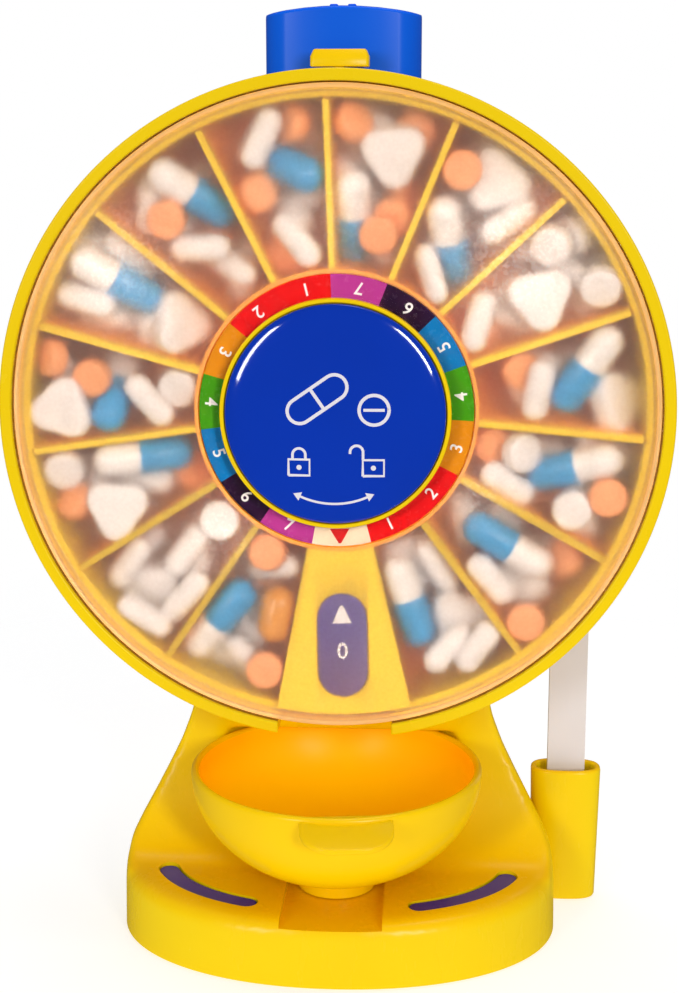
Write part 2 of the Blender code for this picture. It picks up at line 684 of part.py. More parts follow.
def rear_housing():
    """The mechanism's shell behind the drum: keyhole outline, open to the drum and at the tower's top."""
    at = place(0, 0, AXIS_HEIGHT)
    rings = [keyhole_ring(0, HOUSING_FRONT)]
    for step in range(ROUND_STEPS + 1):
        angle = pi / 2 * step / ROUND_STEPS
        inset, fall = HOUSING_ROUND * (1 - cos(angle)), HOUSING_ROUND * (1 - sin(angle))
        rings.append(keyhole_ring(inset, HOUSING_BACK - fall))
    housing = add("rear_housing", loft(rings), at, YELLOW)
    inner = keyhole(HOUSING_RADIUS - HOUSING_WALL, TOWER_INSIDE, TOWER_TOP - AXIS_HEIGHT + OVERRUN)
    hollow = add("housing_hollow", prism(inner, HOUSING_FRONT - OVERRUN, HOUSING_FLOOR), at)
    cut(housing, hollow)
    buried = HOUSING_FLOOR + HOUSING_WALL / 2
    shelf = box((-TOWER_INSIDE - HOUSING_WALL / 2, SHELF_WIDTH), (RATCHET_BACK, buried),
                (SHELF_HEIGHT - SHELF_WALL - AXIS_HEIGHT, SHELF_HEIGHT - AXIS_HEIGHT))
    socket = rod(SOCKET_RADIUS, HOUSING_FLOOR - SOCKET_LENGTH, buried, COARSE)
    across, height = pawl_spot(STOP_PAWL_STEPS * PITCH)
    shoulder = RATCHET_BACK + GAP
    pin = revolve([(0, RATCHET_DEPTH), (PAWL_PIN_RADIUS, RATCHET_DEPTH), (PAWL_PIN_RADIUS, shoulder),
                   (PAWL_EYE, shoulder), (PAWL_EYE, buried), (0, buried)], SMALL)
    inside = [(shelf, (0, 0, 0)), (socket, (0, 0, 0)), (pin, (across, 0, height))]
    bore = rod(AXLE_RADIUS + RUNNING_GAP, HOUSING_FLOOR - SOCKET_LENGTH - OVERRUN, HOUSING_FLOOR, COARSE)
    bores = [(bore, (0, 0, 0))]
    for spot in screw_spots()[:3]:
        there = (spot[0], 0, spot[1] - AXIS_HEIGHT)
        inside.append((rod(SCREW_BOSS, HOUSING_FRONT + GAP, buried), there))
        bores.append((screw_hole(HOUSING_BACK), there))
    join(housing, add("housing_fittings", gather(inside), at))
    cut(housing, add("housing_bores", gather(bores), at))


def screw_hole(back):
    """A through hole with a counterbore for a screw driven from behind."""
    seat = back - SCREW_HEAD_WALL - RUNNING_GAP
    bore, head = SCREW_SHANK + RUNNING_GAP, SCREW_HEAD + RUNNING_GAP
    profile = [(0, DRUM_DEPTH - OVERRUN), (bore, DRUM_DEPTH - OVERRUN), (bore, seat), (head, seat),
               (head, back + OVERRUN), (0, back + OVERRUN)]
    return revolve(profile, SMALL)


def screw(name, at, back):
    seat = back - SCREW_HEAD_WALL
    tip = DRUM_DEPTH - SCREW_BITE
    profile = [(0, tip), (SCREW_SHANK, tip), (SCREW_SHANK, seat), (SCREW_HEAD, seat),
               (SCREW_HEAD, back), (0, back)]
    return add(name, revolve(profile, SMALL), at, STEEL, 0.3, 1.0)


def lever_block(inset, low, high, crown, edge):
    """The lever's block as sections from left to right: a bowed front, round corners and a crowned top."""
    half, corner, heel = LEVER_WIDTH / 2 - inset, LEVER_CORNER - inset, LEVER_HEEL
    turns = [pi / 2 * step / 5 for step in range(6)]
    right = [half - corner + corner * sin(a) for a in turns]
    spots = [-across for across in right[::-1]] + [right[0] * share for share in LEVER_SHARES] + right
    rings = []
    for across in spots:
        past = min(max(abs(across) - (half - corner), 0), corner)
        bow = LEVER_BULGE * (across / half) ** 2
        front = LEVER_FRONT + inset + bow + corner - sqrt(corner ** 2 - past ** 2)
        past = min(max(abs(across) - (half - heel), 0), heel)
        back = LEVER_BACK - inset - heel + sqrt(heel ** 2 - past ** 2)
        top = high - crown * (across / half) ** 2
        if not edge:
            section = [(front, low), (front, top), (back, top), (back, low)]
        else:
            near, slant = top - edge, edge * (1 - cos(pi / 4))
            section = [(front, low), (front, near), (front + slant, top - slant), (front + edge, top),
                       (back - edge, top), (back - slant, top - slant), (back, near), (back, low)]
        rings.append([Vector((across, y, z)) for y, z in section])
    return loft(rings)


def press_lever():
    at = place(0, 0, 0)
    block = lever_block(0, LEVER_BOTTOM, LEVER_TOP, LEVER_CROWN, LEVER_EDGE)
    lever = add("press_lever", block, at, BLUE)
    hollow = add("lever_hollow", lever_block(LEVER_WALL, LEVER_BOTTOM - OVERRUN, LEVER_ROOF, 0, 0), at)
    post = rod(POST_RADIUS, POST_BOTTOM, LEVER_ROOF + OVERRUN, COARSE, upright=True)
    cut(hollow, add("lever_post", post, place(0, SPRING_DEPTH, 0)))
    cut(lever, hollow)
    for side, name in ((-1, "rib_left"), (1, "rib_right")):
        middle, low, high = side * RIB_SPACING / 2, LEVER_TOP - LEVER_WALL / 2, LEVER_TOP + RIB_RISE
        outline = rounded([(middle - RIB_WIDTH / 2, low, 0), (middle - RIB_WIDTH / 2, high, RIB_RISE / 2),
                           (middle + RIB_WIDTH / 2, high, RIB_RISE / 2), (middle + RIB_WIDTH / 2, low, 0)], 2)
        rib = prism(outline, LEVER_FRONT + LEVER_CORNER, LEVER_BACK - LEVER_CORNER)
        join(lever, add(name, rib, at))


def drive_arm():
    """The arm that hangs inside the lever's right wall and carries the drive pawl's pin."""
    right = LEVER_WIDTH / 2 - LEVER_WALL - ARM_INSET
    depth = RATCHET_BACK + GAP
    top = LEVER_ROOF - GAP
    outline = [Vector((right - ARM_WIDTH, top)), Vector((right, top)),
               Vector((right, PAWL_PIN_HEIGHT + PAWL_EYE)), Vector((PAWL_PIN_ACROSS, PAWL_PIN_HEIGHT)),
               Vector((right - ARM_WIDTH, PAWL_PIN_HEIGHT))]
    at = place(PAWL_PIN_ACROSS, 0, PAWL_PIN_HEIGHT)
    local = [point - Vector((PAWL_PIN_ACROSS, PAWL_PIN_HEIGHT)) for point in outline]
    arm = add("drive_arm", prism(local, depth, depth + ARM_WALL), at, WHITE, 0.4)
    eye = rod(PAWL_EYE - SWEEP_GAP, depth, depth + ARM_WALL)
    pin = rod(PAWL_PIN_RADIUS, RATCHET_DEPTH, depth + ARM_WALL / 2)
    join(arm, add("arm_eye", eye, at), add("arm_pin", pin, at))


def return_spring():
    """A compression spring between the housing's shelf and the lever's post, as one swept wire."""
    low = SHELF_HEIGHT + SPRING_WIRE + GAP
    high = POST_BOTTOM - SPRING_WIRE - GAP
    count = SPRING_TURNS * 9
    curve = bpy.data.curves.new("return_spring", "CURVE")
    curve.dimensions = "3D"
    curve.bevel_depth = SPRING_WIRE
    curve.bevel_resolution = 1
    curve.use_fill_caps = True
    wire = curve.splines.new("POLY")
    wire.points.add(count)
    for index in range(count + 1):
        angle = 2 * pi * SPRING_TURNS * index / count
        height = low + (high - low) * index / count
        wire.points[index].co = (SPRING_RADIUS * cos(angle), SPRING_RADIUS * sin(angle), height, 1)
    curve.materials.append(material("return_spring", STEEL, 0.3, 1.0))
    made = bpy.data.objects.new("return_spring", curve)
    made.location = place(0, SPRING_DEPTH, 0)
    bpy.context.scene.collection.objects.link(made)


def latch_tab():
    """A small catch on top of the rim, just ahead of the lever, standing on a narrow foot."""
    low = AXIS_HEIGHT + DRUM_RADIUS + LATCH_LIFT
    back = DRUM_DEPTH - REAR_ROUND
    front = back - LATCH_DEPTH
    rings = []
    for rise, width, lean in ((0, LATCH_WIDTH, 0), (LATCH_CREASE, LATCH_WIDTH, LATCH_LEAN / 3),
                              (LATCH_HEIGHT, LATCH_TOP_WIDTH, LATCH_LEAN)):
        half = width / 2
        corner = LATCH_LEAN / 2
        outline = rounded([(-half, front + lean, corner), (half, front + lean, corner), (half, back, corner),
                           (-half, back, corner)], 2)
        rings.append([Vector((p[0], p[1], low + rise)) for p in outline])
    at = place(0, 0, 0)
    tab = add("latch_tab", loft(rings), at, YELLOW)
    half = LATCH_FOOT / 2
    foot = box((-half, half), (front + LATCH_LEAN, back - LATCH_LEAN),
               (AXIS_HEIGHT + DRUM_RADIUS + RUNNING_GAP, low + LATCH_CREASE))
    join(tab, add("latch_foot", foot, at))


def base_oval(inset, count):
    return oval(BASE_HALF_WIDTH - inset, BASE_HALF_DEPTH - inset, BASE_POWER, count)


def base_ring(inset, height, count=FINE):
    return [Vector((p[0], p[1] + BASE_DEPTH_CENTRE, height)) for p in base_oval(inset, count)]


def neck_sections(inset):
    """The column's sections, bottom to top: (height, centre's depth, half-width, rear depth, power)."""
    rows = (
        (BASE_HEIGHT - BASE_ROUND, BASE_DEPTH_CENTRE, BASE_HALF_WIDTH, REAR_MOST - BASE_FLARE, BASE_POWER),
        (BASE_HEIGHT, BASE_DEPTH_CENTRE, BASE_HALF_WIDTH - BASE_FLARE, REAR_MOST - BASE_FLARE, BASE_POWER),
    )
    rings = []
    for height, centre, half, rear, power in rows + neck_rows():
        outline = oval(half - inset, rear - centre - inset, power, FINE)
        rings.append([Vector((p[0], p[1] + centre, height)) for p in outline])
    return rings


def neck_rows():
    """The column above the base, as shares of the way from the base's top to the housing's level."""
    slope_share = (0.12, 0.27, 0.46, 0.66, 0.86, 1.0)
    centre_share = (0.38, 0.68, 0.86, 0.96, 1.0, 1.0)
    width_share = (0.05, 0.197, 0.398, 0.60, 0.80, 0.91)
    rear_share = (0.10, 0.22, 0.36, 0.50, 0.64, 0.74)
    reach = DRUM_DEPTH - BASE_DEPTH_CENTRE
    taper = BASE_HALF_WIDTH - HOUSING_RADIUS
    rows = []
    for up, along, narrow, lean in zip(slope_share, centre_share, width_share, rear_share):
        rows.append((BASE_HEIGHT + up * (RAMP_TOP - BASE_HEIGHT), BASE_DEPTH_CENTRE + along * reach,
                     BASE_HALF_WIDTH - narrow * taper, REAR_MOST - lean * (REAR_MOST - NECK_REAR),
                     BASE_POWER + up * (NECK_POWER - BASE_POWER) / 2))
    middle = (RAMP_TOP + NECK_TOP) / 2
    narrow = HOUSING_RADIUS * NECK_WIDTH_SHARE
    rows.append((middle, DRUM_DEPTH, narrow, NECK_REAR, NECK_POWER))
    rows.append((NECK_TOP, DRUM_DEPTH, narrow, NECK_REAR, NECK_POWER))
    return tuple(rows)


def ramp_tool():
    """What is cleared in front of the column: a hollow ramp that rises to the drum's back."""
    wall = DRUM_DEPTH + GAP
    reach, rise = wall - RAMP_START, RAMP_TOP - BASE_HEIGHT
    curve = [Vector((RAMP_START + reach * sin(a), RAMP_TOP - rise * cos(a)))
             for a in [pi / 2 * step / 10 for step in range(11)]]
    high = NECK_TOP + OVERRUN
    front = -BASE_HALF_DEPTH
    side = BASE_HALF_WIDTH + OVERRUN
    outline = [Vector((front, BASE_HEIGHT))] + curve + [Vector((wall, high)), Vector((front, high))]
    rings = [[Vector((across, y, z)) for y, z in outline] for across in (-side, side)]
    return loft(rings)


def cradle_tool():
    """The dish that is swept out of the ramp round the bowl: the bowl's own curve, a gap wider."""
    radius, low = BOWL_RADIUS + CRADLE_GAP, BOWL_RIM - BOWL_WALL / 2
    angles = [pi / 2 * step / CRADLE_STEPS for step in range(1, CRADLE_STEPS + 1)]
    curve = [(radius * sin(a), low - (low - BASE_HEIGHT) * cos(a)) for a in angles]
    ceiling = BOWL_RIM + CRADLE_GAP
    return revolve([(0, BASE_HEIGHT)] + curve + [(radius, ceiling), (0, ceiling)], MEDIUM, upright=True)


def stand():
    """The moulded stand: a hollow oval base, the ramp and its cradle, and the column up to the housing."""
    at = place(0, 0, 0)
    rings = [base_ring(-BASE_FLARE, FOOT_PROUD), base_ring(0, BASE_HEIGHT - BASE_ROUND)]
    for step in range(1, 4):
        angle = pi / 2 * step / 3
        rings.append(base_ring(BASE_ROUND * (1 - cos(angle)), BASE_HEIGHT - BASE_ROUND * (1 - sin(angle))))
    body = add("stand", loft(rings), at, YELLOW)
    neck = add("neck", loft(neck_sections(0)), at)
    cut(neck, add("ramp_cut", ramp_tool(), at))
    cut(neck, add("cradle_cut", cradle_tool(), place(0, BOWL_DEPTH, 0)))
    seat = rod(HOUSING_RADIUS + GAP, -OVERRUN, HOUSING_BACK + OVERRUN + HOUSING_WALL, FINE)
    cut(neck, add("housing_seat", seat, place(0, 0, AXIS_HEIGHT)))
    half = COLUMN_SCREW_ACROSS + SCREW_BOSS
    pocket = box((-half, half), (DRUM_DEPTH - OVERRUN, NECK_REAR - 2 * NECK_WALL),
                 (POCKET_BOTTOM, POCKET_TOP))
    pocket_cut = add("neck_pocket", pocket, at)
    cut(neck, pocket_cut)
    join(body, neck)
    bosses, bores = [], []
    for spot in screw_spots()[3:]:
        there = (spot[0], 0, spot[1])
        bosses.append((rod(SCREW_BOSS, DRUM_DEPTH + 2 * GAP, NECK_REAR - NECK_WALL), there))
        bores.append((screw_hole(NECK_REAR), there))
    join(body, add("column_bosses", gather(bosses), at))
    cut(body, add("column_bores", gather(bores), at))
    cut(body, base_hollow(at))
    half = CHANNEL_WIDTH / 2
    channel = box((-half, half), (-BASE_HALF_DEPTH, CHANNEL_BACK), (FLOOR_OF_CHANNEL, BASE_HEIGHT + OVERRUN))
    cut(body, add("channel_cut", channel, at))
    low = BASE_HEIGHT - PAD_SUNK - PAD_WALL - RUNNING_GAP
    pockets = []
    for side in (-1, 1):
        pockets.append((prism(pad_outline(side, GAP), low, BASE_HEIGHT + OVERRUN, upright=True), (0, 0, 0)))
    cut(body, add("pad_cut", gather(pockets), at))
    nest = oval(HOLDER_HALF_WIDTH + GAP, HOLDER_HALF_DEPTH + GAP, HOLDER_POWER, COARSE)
    there = place(HOLDER_ACROSS, HOLDER_DEPTH, 0)
    cut(body, add("holder_nest", prism(nest, -OVERRUN, HOLDER_RIM + OVERRUN, upright=True), there))
    cut(body, add("tongue_slot", tongue(GAP), there))


def base_hollow(at):
    """The base's inside, open below, with the four posts that take the base plate's screws."""
    roof = FLOOR_OF_CHANNEL - BASE_WALL
    hollow = add("base_hollow", loft([base_ring(BASE_WALL, -OVERRUN), base_ring(BASE_WALL, roof)]), at)
    spots = base_spots(BASE_SCREW_ACROSS, BASE_SCREW_AHEAD)
    posts = [(post_shape(roof), (spot[0], spot[1], 0)) for spot in spots]
    cut(hollow, add("base_posts", gather(posts), at))
    return hollow


def post_shape(roof):
    """A post that hangs from the base's roof, with a blind hole for its screw."""
    low, bore, end = FOOT_PROUD + PLATE_THICKNESS + GAP, SCREW_SHANK + RUNNING_GAP, BASE_SCREW_LENGTH + GAP
    profile = [(0, end), (bore, end), (bore, low), (SCREW_BOSS, low),
               (SCREW_BOSS, roof + OVERRUN), (0, roof + OVERRUN)]
    return revolve(profile, SMALL, upright=True)


def base_spots(across, ahead):
    return [(i * across, BASE_DEPTH_CENTRE + j * ahead) for j in (-1, 1) for i in (-1, 1)]


def base_plate():
    """The plate that closes the base, with sunk seats for the feet and the screws."""
    high = FOOT_PROUD + PLATE_THICKNESS
    inset = BASE_WALL + GAP
    rings = [base_ring(inset, FOOT_PROUD), base_ring(inset, high)]
    plate = add("base_plate", loft(rings), place(0, 0, 0), YELLOW)
    seats = []
    for spot in base_spots(FOOT_ACROSS, FOOT_AHEAD):
        top = FOOT_PROUD + FOOT_SUNK + RUNNING_GAP
        seat = rod(FOOT_RADIUS + RUNNING_GAP, -OVERRUN, top, COARSE, upright=True)
        seats.append((seat, (spot[0], spot[1], 0)))
    for spot in base_spots(BASE_SCREW_ACROSS, BASE_SCREW_AHEAD):
        hole = base_screw_profile(RUNNING_GAP, high + OVERRUN, -OVERRUN)
        seats.append((revolve(hole, SMALL, upright=True), (spot[0], spot[1], 0)))
    cut(plate, add("plate_seats", gather(seats), place(0, 0, 0)))


def base_screw_profile(extra, top, low):
    seat = FOOT_PROUD + BASE_SCREW_HEAD_WALL + extra
    return [(0, low), (SCREW_HEAD + extra, low), (SCREW_HEAD + extra, seat), (SCREW_SHANK + extra, seat),
            (SCREW_SHANK + extra, top), (0, top)]


def base_fittings():
    for index, spot in enumerate(base_spots(FOOT_ACROSS, FOOT_AHEAD)):
        pad = rod(FOOT_RADIUS, 0, FOOT_PROUD + FOOT_SUNK, COARSE, upright=True)
        add("foot_%d" % (index + 1), pad, place(spot[0], spot[1], 0), BLACK, 0.8)
    for index, spot in enumerate(base_spots(BASE_SCREW_ACROSS, BASE_SCREW_AHEAD)):
        shape = revolve(base_screw_profile(0, BASE_SCREW_LENGTH, FOOT_PROUD), SMALL, upright=True)
        add("base_screw_%d" % (index + 1), shape, place(spot[0], spot[1], 0), STEEL, 0.3, 1.0)


def pad_outline(side, extra):
    """A bent strip with round ends that keeps its distance from the base's front edge."""
    half_width, half_depth = BASE_HALF_WIDTH - PAD_SIDE_INSET, BASE_HALF_DEPTH - PAD_FRONT_INSET
    spine = []
    for step in range(9):
        across = PAD_FROM + (PAD_TO - PAD_FROM) * step / 8
        along = (1 - (across / half_width) ** BASE_POWER) ** (1 / BASE_POWER)
        spine.append(Vector((side * across, BASE_DEPTH_CENTRE - half_depth * along)))
    half = PAD_WIDTH / 2 + extra
    normals = []
    for index in range(len(spine)):
        along = spine[min(index + 1, len(spine) - 1)] - spine[max(index - 1, 0)]
        normals.append(Vector((-along.y, along.x)).normalized() * half)
    left = [point + normal for point, normal in zip(spine, normals)]
    right = [point - normal for point, normal in zip(spine, normals)]
    return left + cap(spine[-1], normals[-1]) + right[::-1] + cap(spine[0], -normals[0])


def cap(centre, start):
    """The points of a half turn from one side of a strip to the other, without its two ends."""
    points = []
    for step in range(1, 6):
        turned = start.copy()
        turned.rotate(Matrix.Rotation(-pi * step / 6, 2))
        points.append(centre + turned)
    return points


def inlaid_pads():
    low = BASE_HEIGHT - PAD_SUNK - PAD_WALL
    for side, name in ((-1, "pad_left"), (1, "pad_right")):
        shape = prism(pad_outline(side, 0), low, low + PAD_WALL, upright=True)
        add(name, shape, place(0, 0, 0), PURPLE, 0.35)


def bowl():
    """The bowl: a turned dish on a foot, with a finger tab that slopes down from its front rim."""
    at = place(0, BOWL_DEPTH, 0)
    bottom = FLOOR_OF_CHANNEL + GAP
    foot_top = bottom + BOWL_FOOT
    lip = BOWL_WALL / 2
    low, slant = BOWL_RIM - lip, lip * (1 - cos(pi / 4))
    outer = low - foot_top
    meet = asin(BOWL_FOOT_RADIUS / BOWL_RADIUS)
    angles = [meet + (pi / 2 - meet) * step / BOWL_STEPS for step in range(BOWL_STEPS)]
    side = [(BOWL_RADIUS * sin(a), low - outer * cos(a)) for a in angles]
    profile = [(0, bottom), (BOWL_FOOT_RADIUS, bottom)] + side + [
        (BOWL_RADIUS, low), (BOWL_RADIUS - slant, BOWL_RIM - slant),
        (BOWL_RADIUS - lip, BOWL_RIM), (0, BOWL_RIM)]
    dish = add("bowl", revolve(profile, MEDIUM, upright=True), at, YELLOW)
    join(dish, finger_tab())
    inner = BOWL_RADIUS - BOWL_WALL
    fall = low - foot_top - BOWL_WALL
    angles = [pi / 2 * step / BOWL_STEPS for step in range(BOWL_STEPS)]
    side = [(inner * sin(a), low - fall * cos(a)) for a in angles]
    profile = side + [
        (inner, low), (inner + slant, BOWL_RIM - slant), (inner + lip, BOWL_RIM),
        (inner + lip, BOWL_RIM + OVERRUN), (0, BOWL_RIM + OVERRUN)]
    cut(dish, add("bowl_hollow", revolve(profile, MEDIUM, upright=True), at))


def finger_tab():
    """A blunt tongue with round corners, tilted down and a little round from the bowl's front."""
    half = TAB_HALF_WIDTH
    front = [(-half, -TAB_REACH, TAB_CORNER), (half, -TAB_REACH, TAB_CORNER)]
    outline = rounded([(-half, TAB_ROOT, 0)] + front + [(half, TAB_ROOT, 0)], TAB_STEPS)
    tab = prism(outline, -TAB_WALL, 0, upright=True)
    across, ahead = BOWL_RADIUS * sin(TAB_TURN), BOWL_RADIUS * cos(TAB_TURN)
    spot = place(across, BOWL_DEPTH - ahead, BOWL_RIM - TAB_DROP)
    return add("finger_tab", tab, spot, turn=(TAB_LEAN, 0, TAB_TURN))


def holder_ring(inset, taper, height):
    half_width, half_depth = HOLDER_HALF_WIDTH - inset - taper, HOLDER_HALF_DEPTH - inset - taper / 2
    outline = oval(half_width, half_depth, HOLDER_POWER, COARSE)
    return [Vector((p[0], p[1], height)) for p in outline]


def tongue(extra):
    """The low block on the holder's front left that plugs into the base's side."""
    return box((-TONGUE_REACH - extra, 0), (-TONGUE_FRONT - extra, 0),
               (HOLDER_BOTTOM - extra, HOLDER_BOTTOM + TONGUE_HEIGHT + extra))


def scoop_holder():
    """An oval pocket beside the base, joined to it by a low tongue."""
    at = place(HOLDER_ACROSS, HOLDER_DEPTH, 0)
    slant = HOLDER_ROUND * (1 - cos(pi / 4))
    rings = [holder_ring(HOLDER_ROUND, HOLDER_TAPER, HOLDER_BOTTOM),
             holder_ring(slant, HOLDER_TAPER, HOLDER_BOTTOM + slant),
             holder_ring(0, HOLDER_TAPER, HOLDER_BOTTOM + HOLDER_ROUND),
             holder_ring(0, 0, HOLDER_RIM - slant), holder_ring(slant, 0, HOLDER_RIM)]
    pocket = add("scoop_holder", loft(rings), at, YELLOW)
    join(pocket, add("holder_tongue", tongue(0), at))
    floor = HOLDER_BOTTOM + HOLDER_FLOOR
    rings = [holder_ring(HOLDER_WALL, HOLDER_TAPER, floor), holder_ring(HOLDER_WALL, 0, HOLDER_RIM + OVERRUN)]
    cut(pocket, add("holder_hollow", loft(rings), at))


def scoop():
    """A flat stick that stands in the holder, with a small spoon at its upper end."""
    at = place(HOLDER_ACROSS, HOLDER_DEPTH, 0)
    half, low = STICK_WIDTH / 2, HOLDER_BOTTOM + HOLDER_FLOOR + GAP
    foot = [(-half, low, STICK_ROUND), (half, low, STICK_ROUND)]
    outline = rounded(foot + [(half, STICK_TOP, 0), (-half, STICK_TOP, 0)])
    stick = add("scoop", prism(outline, -STICK_WALL / 2, STICK_WALL / 2), at, WHITE, 0.45)
    steps = 5
    outside = [(cos(pi / 2 * k / steps), sin(pi / 2 * k / steps)) for k in range(steps)]
    thin = 1 - SPOON_WALL / SPOON_HALF_WIDTH
    inside = [(thin * cos(pi / 2 * k / steps), thin * sin(pi / 2 * k / steps)) for k in range(steps)]
    profile = [(0, 1)] + outside[::-1] + inside + [(0, thin)]
    bm = revolve(profile, COARSE)
    size = (SPOON_HALF_WIDTH, SPOON_DEPTH, SPOON_HALF_LENGTH)
    bmesh.ops.scale(bm, vec=size, verts=bm.verts)
    head = add("spoon", bm, place(HOLDER_ACROSS, HOLDER_DEPTH - STICK_WALL / 2,
                                  STICK_TOP + SPOON_HALF_LENGTH - SPOON_WALL))
    join(stick, head)


def main():
    clear_scene()
    drum_casing()
    front_cover()
    sector_wheel()
    start_label()
    number_ring()
    ratchet_wheel()
    axle_pin()
    knob()
    pawl("drive_pawl", 0)
    pawl("stop_pawl", STOP_PAWL_STEPS * PITCH)
    rear_housing()
    for index, spot in enumerate(screw_spots()[:3]):
        screw("housing_screw_%d" % (index + 1), place(spot[0], 0, spot[1]), HOUSING_BACK)
    for index, spot in enumerate(screw_spots()[3:]):
        screw("column_screw_%d" % (index + 1), place(spot[0], 0, spot[1]), NECK_REAR)
    press_lever()
    drive_arm()
    return_spring()
    latch_tab()
    stand()
    base_plate()
    base_fittings()
    inlaid_pads()
    bowl()
    scoop_holder()
    scoop()


main()
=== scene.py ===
"""The wheel pill dispenser as it looks: finishes, printed marks, the pills, and finer round pieces.

Lengths are in millimetres until a shape is placed. Depth is counted from the drum's front rim.
"""

from math import acos, asin, atan2, cos, hypot, pi, radians, sin, sqrt
from random import Random

import bmesh
import bpy
from mathutils import Euler, Matrix, Vector


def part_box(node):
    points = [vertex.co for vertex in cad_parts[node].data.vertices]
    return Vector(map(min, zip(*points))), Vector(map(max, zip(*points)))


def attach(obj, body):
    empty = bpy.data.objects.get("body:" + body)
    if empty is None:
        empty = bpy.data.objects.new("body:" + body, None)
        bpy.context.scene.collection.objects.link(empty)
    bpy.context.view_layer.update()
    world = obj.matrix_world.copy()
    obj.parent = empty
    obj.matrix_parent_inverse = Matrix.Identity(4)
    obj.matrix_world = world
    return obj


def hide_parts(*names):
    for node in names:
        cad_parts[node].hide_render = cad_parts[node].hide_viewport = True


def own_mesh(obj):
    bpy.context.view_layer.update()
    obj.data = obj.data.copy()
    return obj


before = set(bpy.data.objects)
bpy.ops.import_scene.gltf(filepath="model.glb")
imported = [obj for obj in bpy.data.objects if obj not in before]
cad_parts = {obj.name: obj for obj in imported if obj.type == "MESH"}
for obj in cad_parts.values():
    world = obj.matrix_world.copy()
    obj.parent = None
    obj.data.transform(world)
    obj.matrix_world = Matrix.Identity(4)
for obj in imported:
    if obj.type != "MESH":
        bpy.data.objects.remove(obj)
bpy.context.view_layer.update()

# Places, the wheel's sectors, and the steps that a round piece is turned in
MM = 0.001
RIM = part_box("drum_casing")[0].y / MM
AXLE = 120.0
MIDDLE, AXLE_SPOT = (0, 0, AXLE), (0, RIM * MM, AXLE * MM)
SECTORS, START_ANGLE, PITCH = 15, radians(-88.3), radians(24)
AROUND = 192

# Sizes of the pieces that are made finer here; a turned piece's corners are its radii and depths
CASING = ((6.4, 26.0), (6.4, 23.6), (64.4, 23.6), (64.4, 4.7), (67.5, 4.7), (67.5, 0), (70.0, 0), (70.0, 26.0))
OUTLET = (-12.1, -3, 47), (12.1, 20.5, 58.6)
COVER_RADIUS, BAND_RADIUS, EDGE_RADIUS, WINDOW_RADIUS, COVER_BORE = 67.2, 65.8, 66.3, 30.0, 6.9
COVER_RIM, COVER_DISH, COVER_BACK, COVER_WALL = 1.2, 4.0, 4.4, 1.4
COLLAR = ((0, 4.2), (23.3, 4.2), (23.3, 2.8), (24.2, 2.8), (24.2, 4.9), (6.6, 4.9), (6.6, 5.7), (0, 5.7))
DOME_RADIUS, DOME_BASE, DOME_SHOULDER, DOME_CROWN = 23.05, 4.1, 2.8, 2.1
RING_INNER, RING_OUTER, RING_FRONT, RING_WALL = 23.8, 28.9, 6.9, 0.6
PRINT_THICK, LABEL_THICK, LEVER_TRAVEL = 0.08, 0.1, 8.4
BOWL_DEPTH, BOWL_RADIUS, BOWL_RIM, BOWL_WALL = 8.0, 31.9, 41.7, 1.7
BOWL_FOOT, BOWL_BOTTOM, BOWL_UNDER = 8.6, 13.6, 15.9
BASE_CENTRE, BASE_WIDTH, BASE_REACH, BASE_TOP, BASE_ROUND, BASE_POWER = 18.6, 48.9, 35.1, 15.0, 3.5, 2.1
BASE_FLOOR, BASE_WALL, HOLLOW_TOP, CRADLE_RADIUS, CRADLE_RISE, HOUSING_ROOM = 0.6, 2.2, 11.1, 32.8, 0.9, 34.3
CHANNEL_HALF, CHANNEL_FLOOR, CHANNEL_BACK = 10.9, 13.3, 22
PAD_FROM, PAD_TO, PAD_HALF, PAD_LOW, PAD_HIGH = 18.6, 37.9, 2.15, 13.9, 14.7
PAD_SIDE_INSET, PAD_FRONT_INSET, PAD_STEPS = 9.3, 7.65, 24
COLUMN = (  # height, depth of the middle, half-width, rear depth and squareness of the column's sections
    (11.5, 18.6, 48.9, 53.7, 2.1), (15.0, 18.6, 48.6, 53.7, 2.1), (18.5, 21.4, 48.15, 53.0, 2.16),
    (22.8, 23.6, 46.0, 51.8, 2.23), (28.3, 25.0, 43.0, 50.4, 2.33), (34.1, 25.7, 40.0, 49.0, 2.43),
    (39.9, 26.0, 37.2, 47.7, 2.53), (46.0, 26.0, 34.9, 46.4, 2.65), (54.0, 26.0, 32.9, 45.2, 2.85),
    (64.0, 26.0, 31.5, 44.3, 3.0), (74.0, 26.0, 30.94, 44.0, 3.1), (108.0, 26.0, 30.94, 44.0, 3.1),
)
CUP_ACROSS, CUP_DEPTH, CUP_POWER = 52.2, 34.5, 2.6
CUP = (  # half-width, half-depth and height of the scoop holder's sections, outside and then inside
    (6.9, 3.9, 0.4), (7.3, 4.3, 0.55), (7.5, 4.5, 1.0), (8.1, 4.8, 31.6), (8.0, 4.7, 32.1), (7.7, 4.4, 32.4),
    (7.1, 3.8, 32.4), (6.8, 3.5, 32.15), (6.7, 3.4, 31.7), (6.1, 3.1, 2.2),
)
SHANK, HEAD, CROSS_LONG, CROSS_NARROW, CROSS_DEEP = 1.2, 2.6, 1.5, 0.32, 0.7
POCKET_FLOOR, POCKET_RIM, DIVIDER = 21.8, 64.3, 1.3

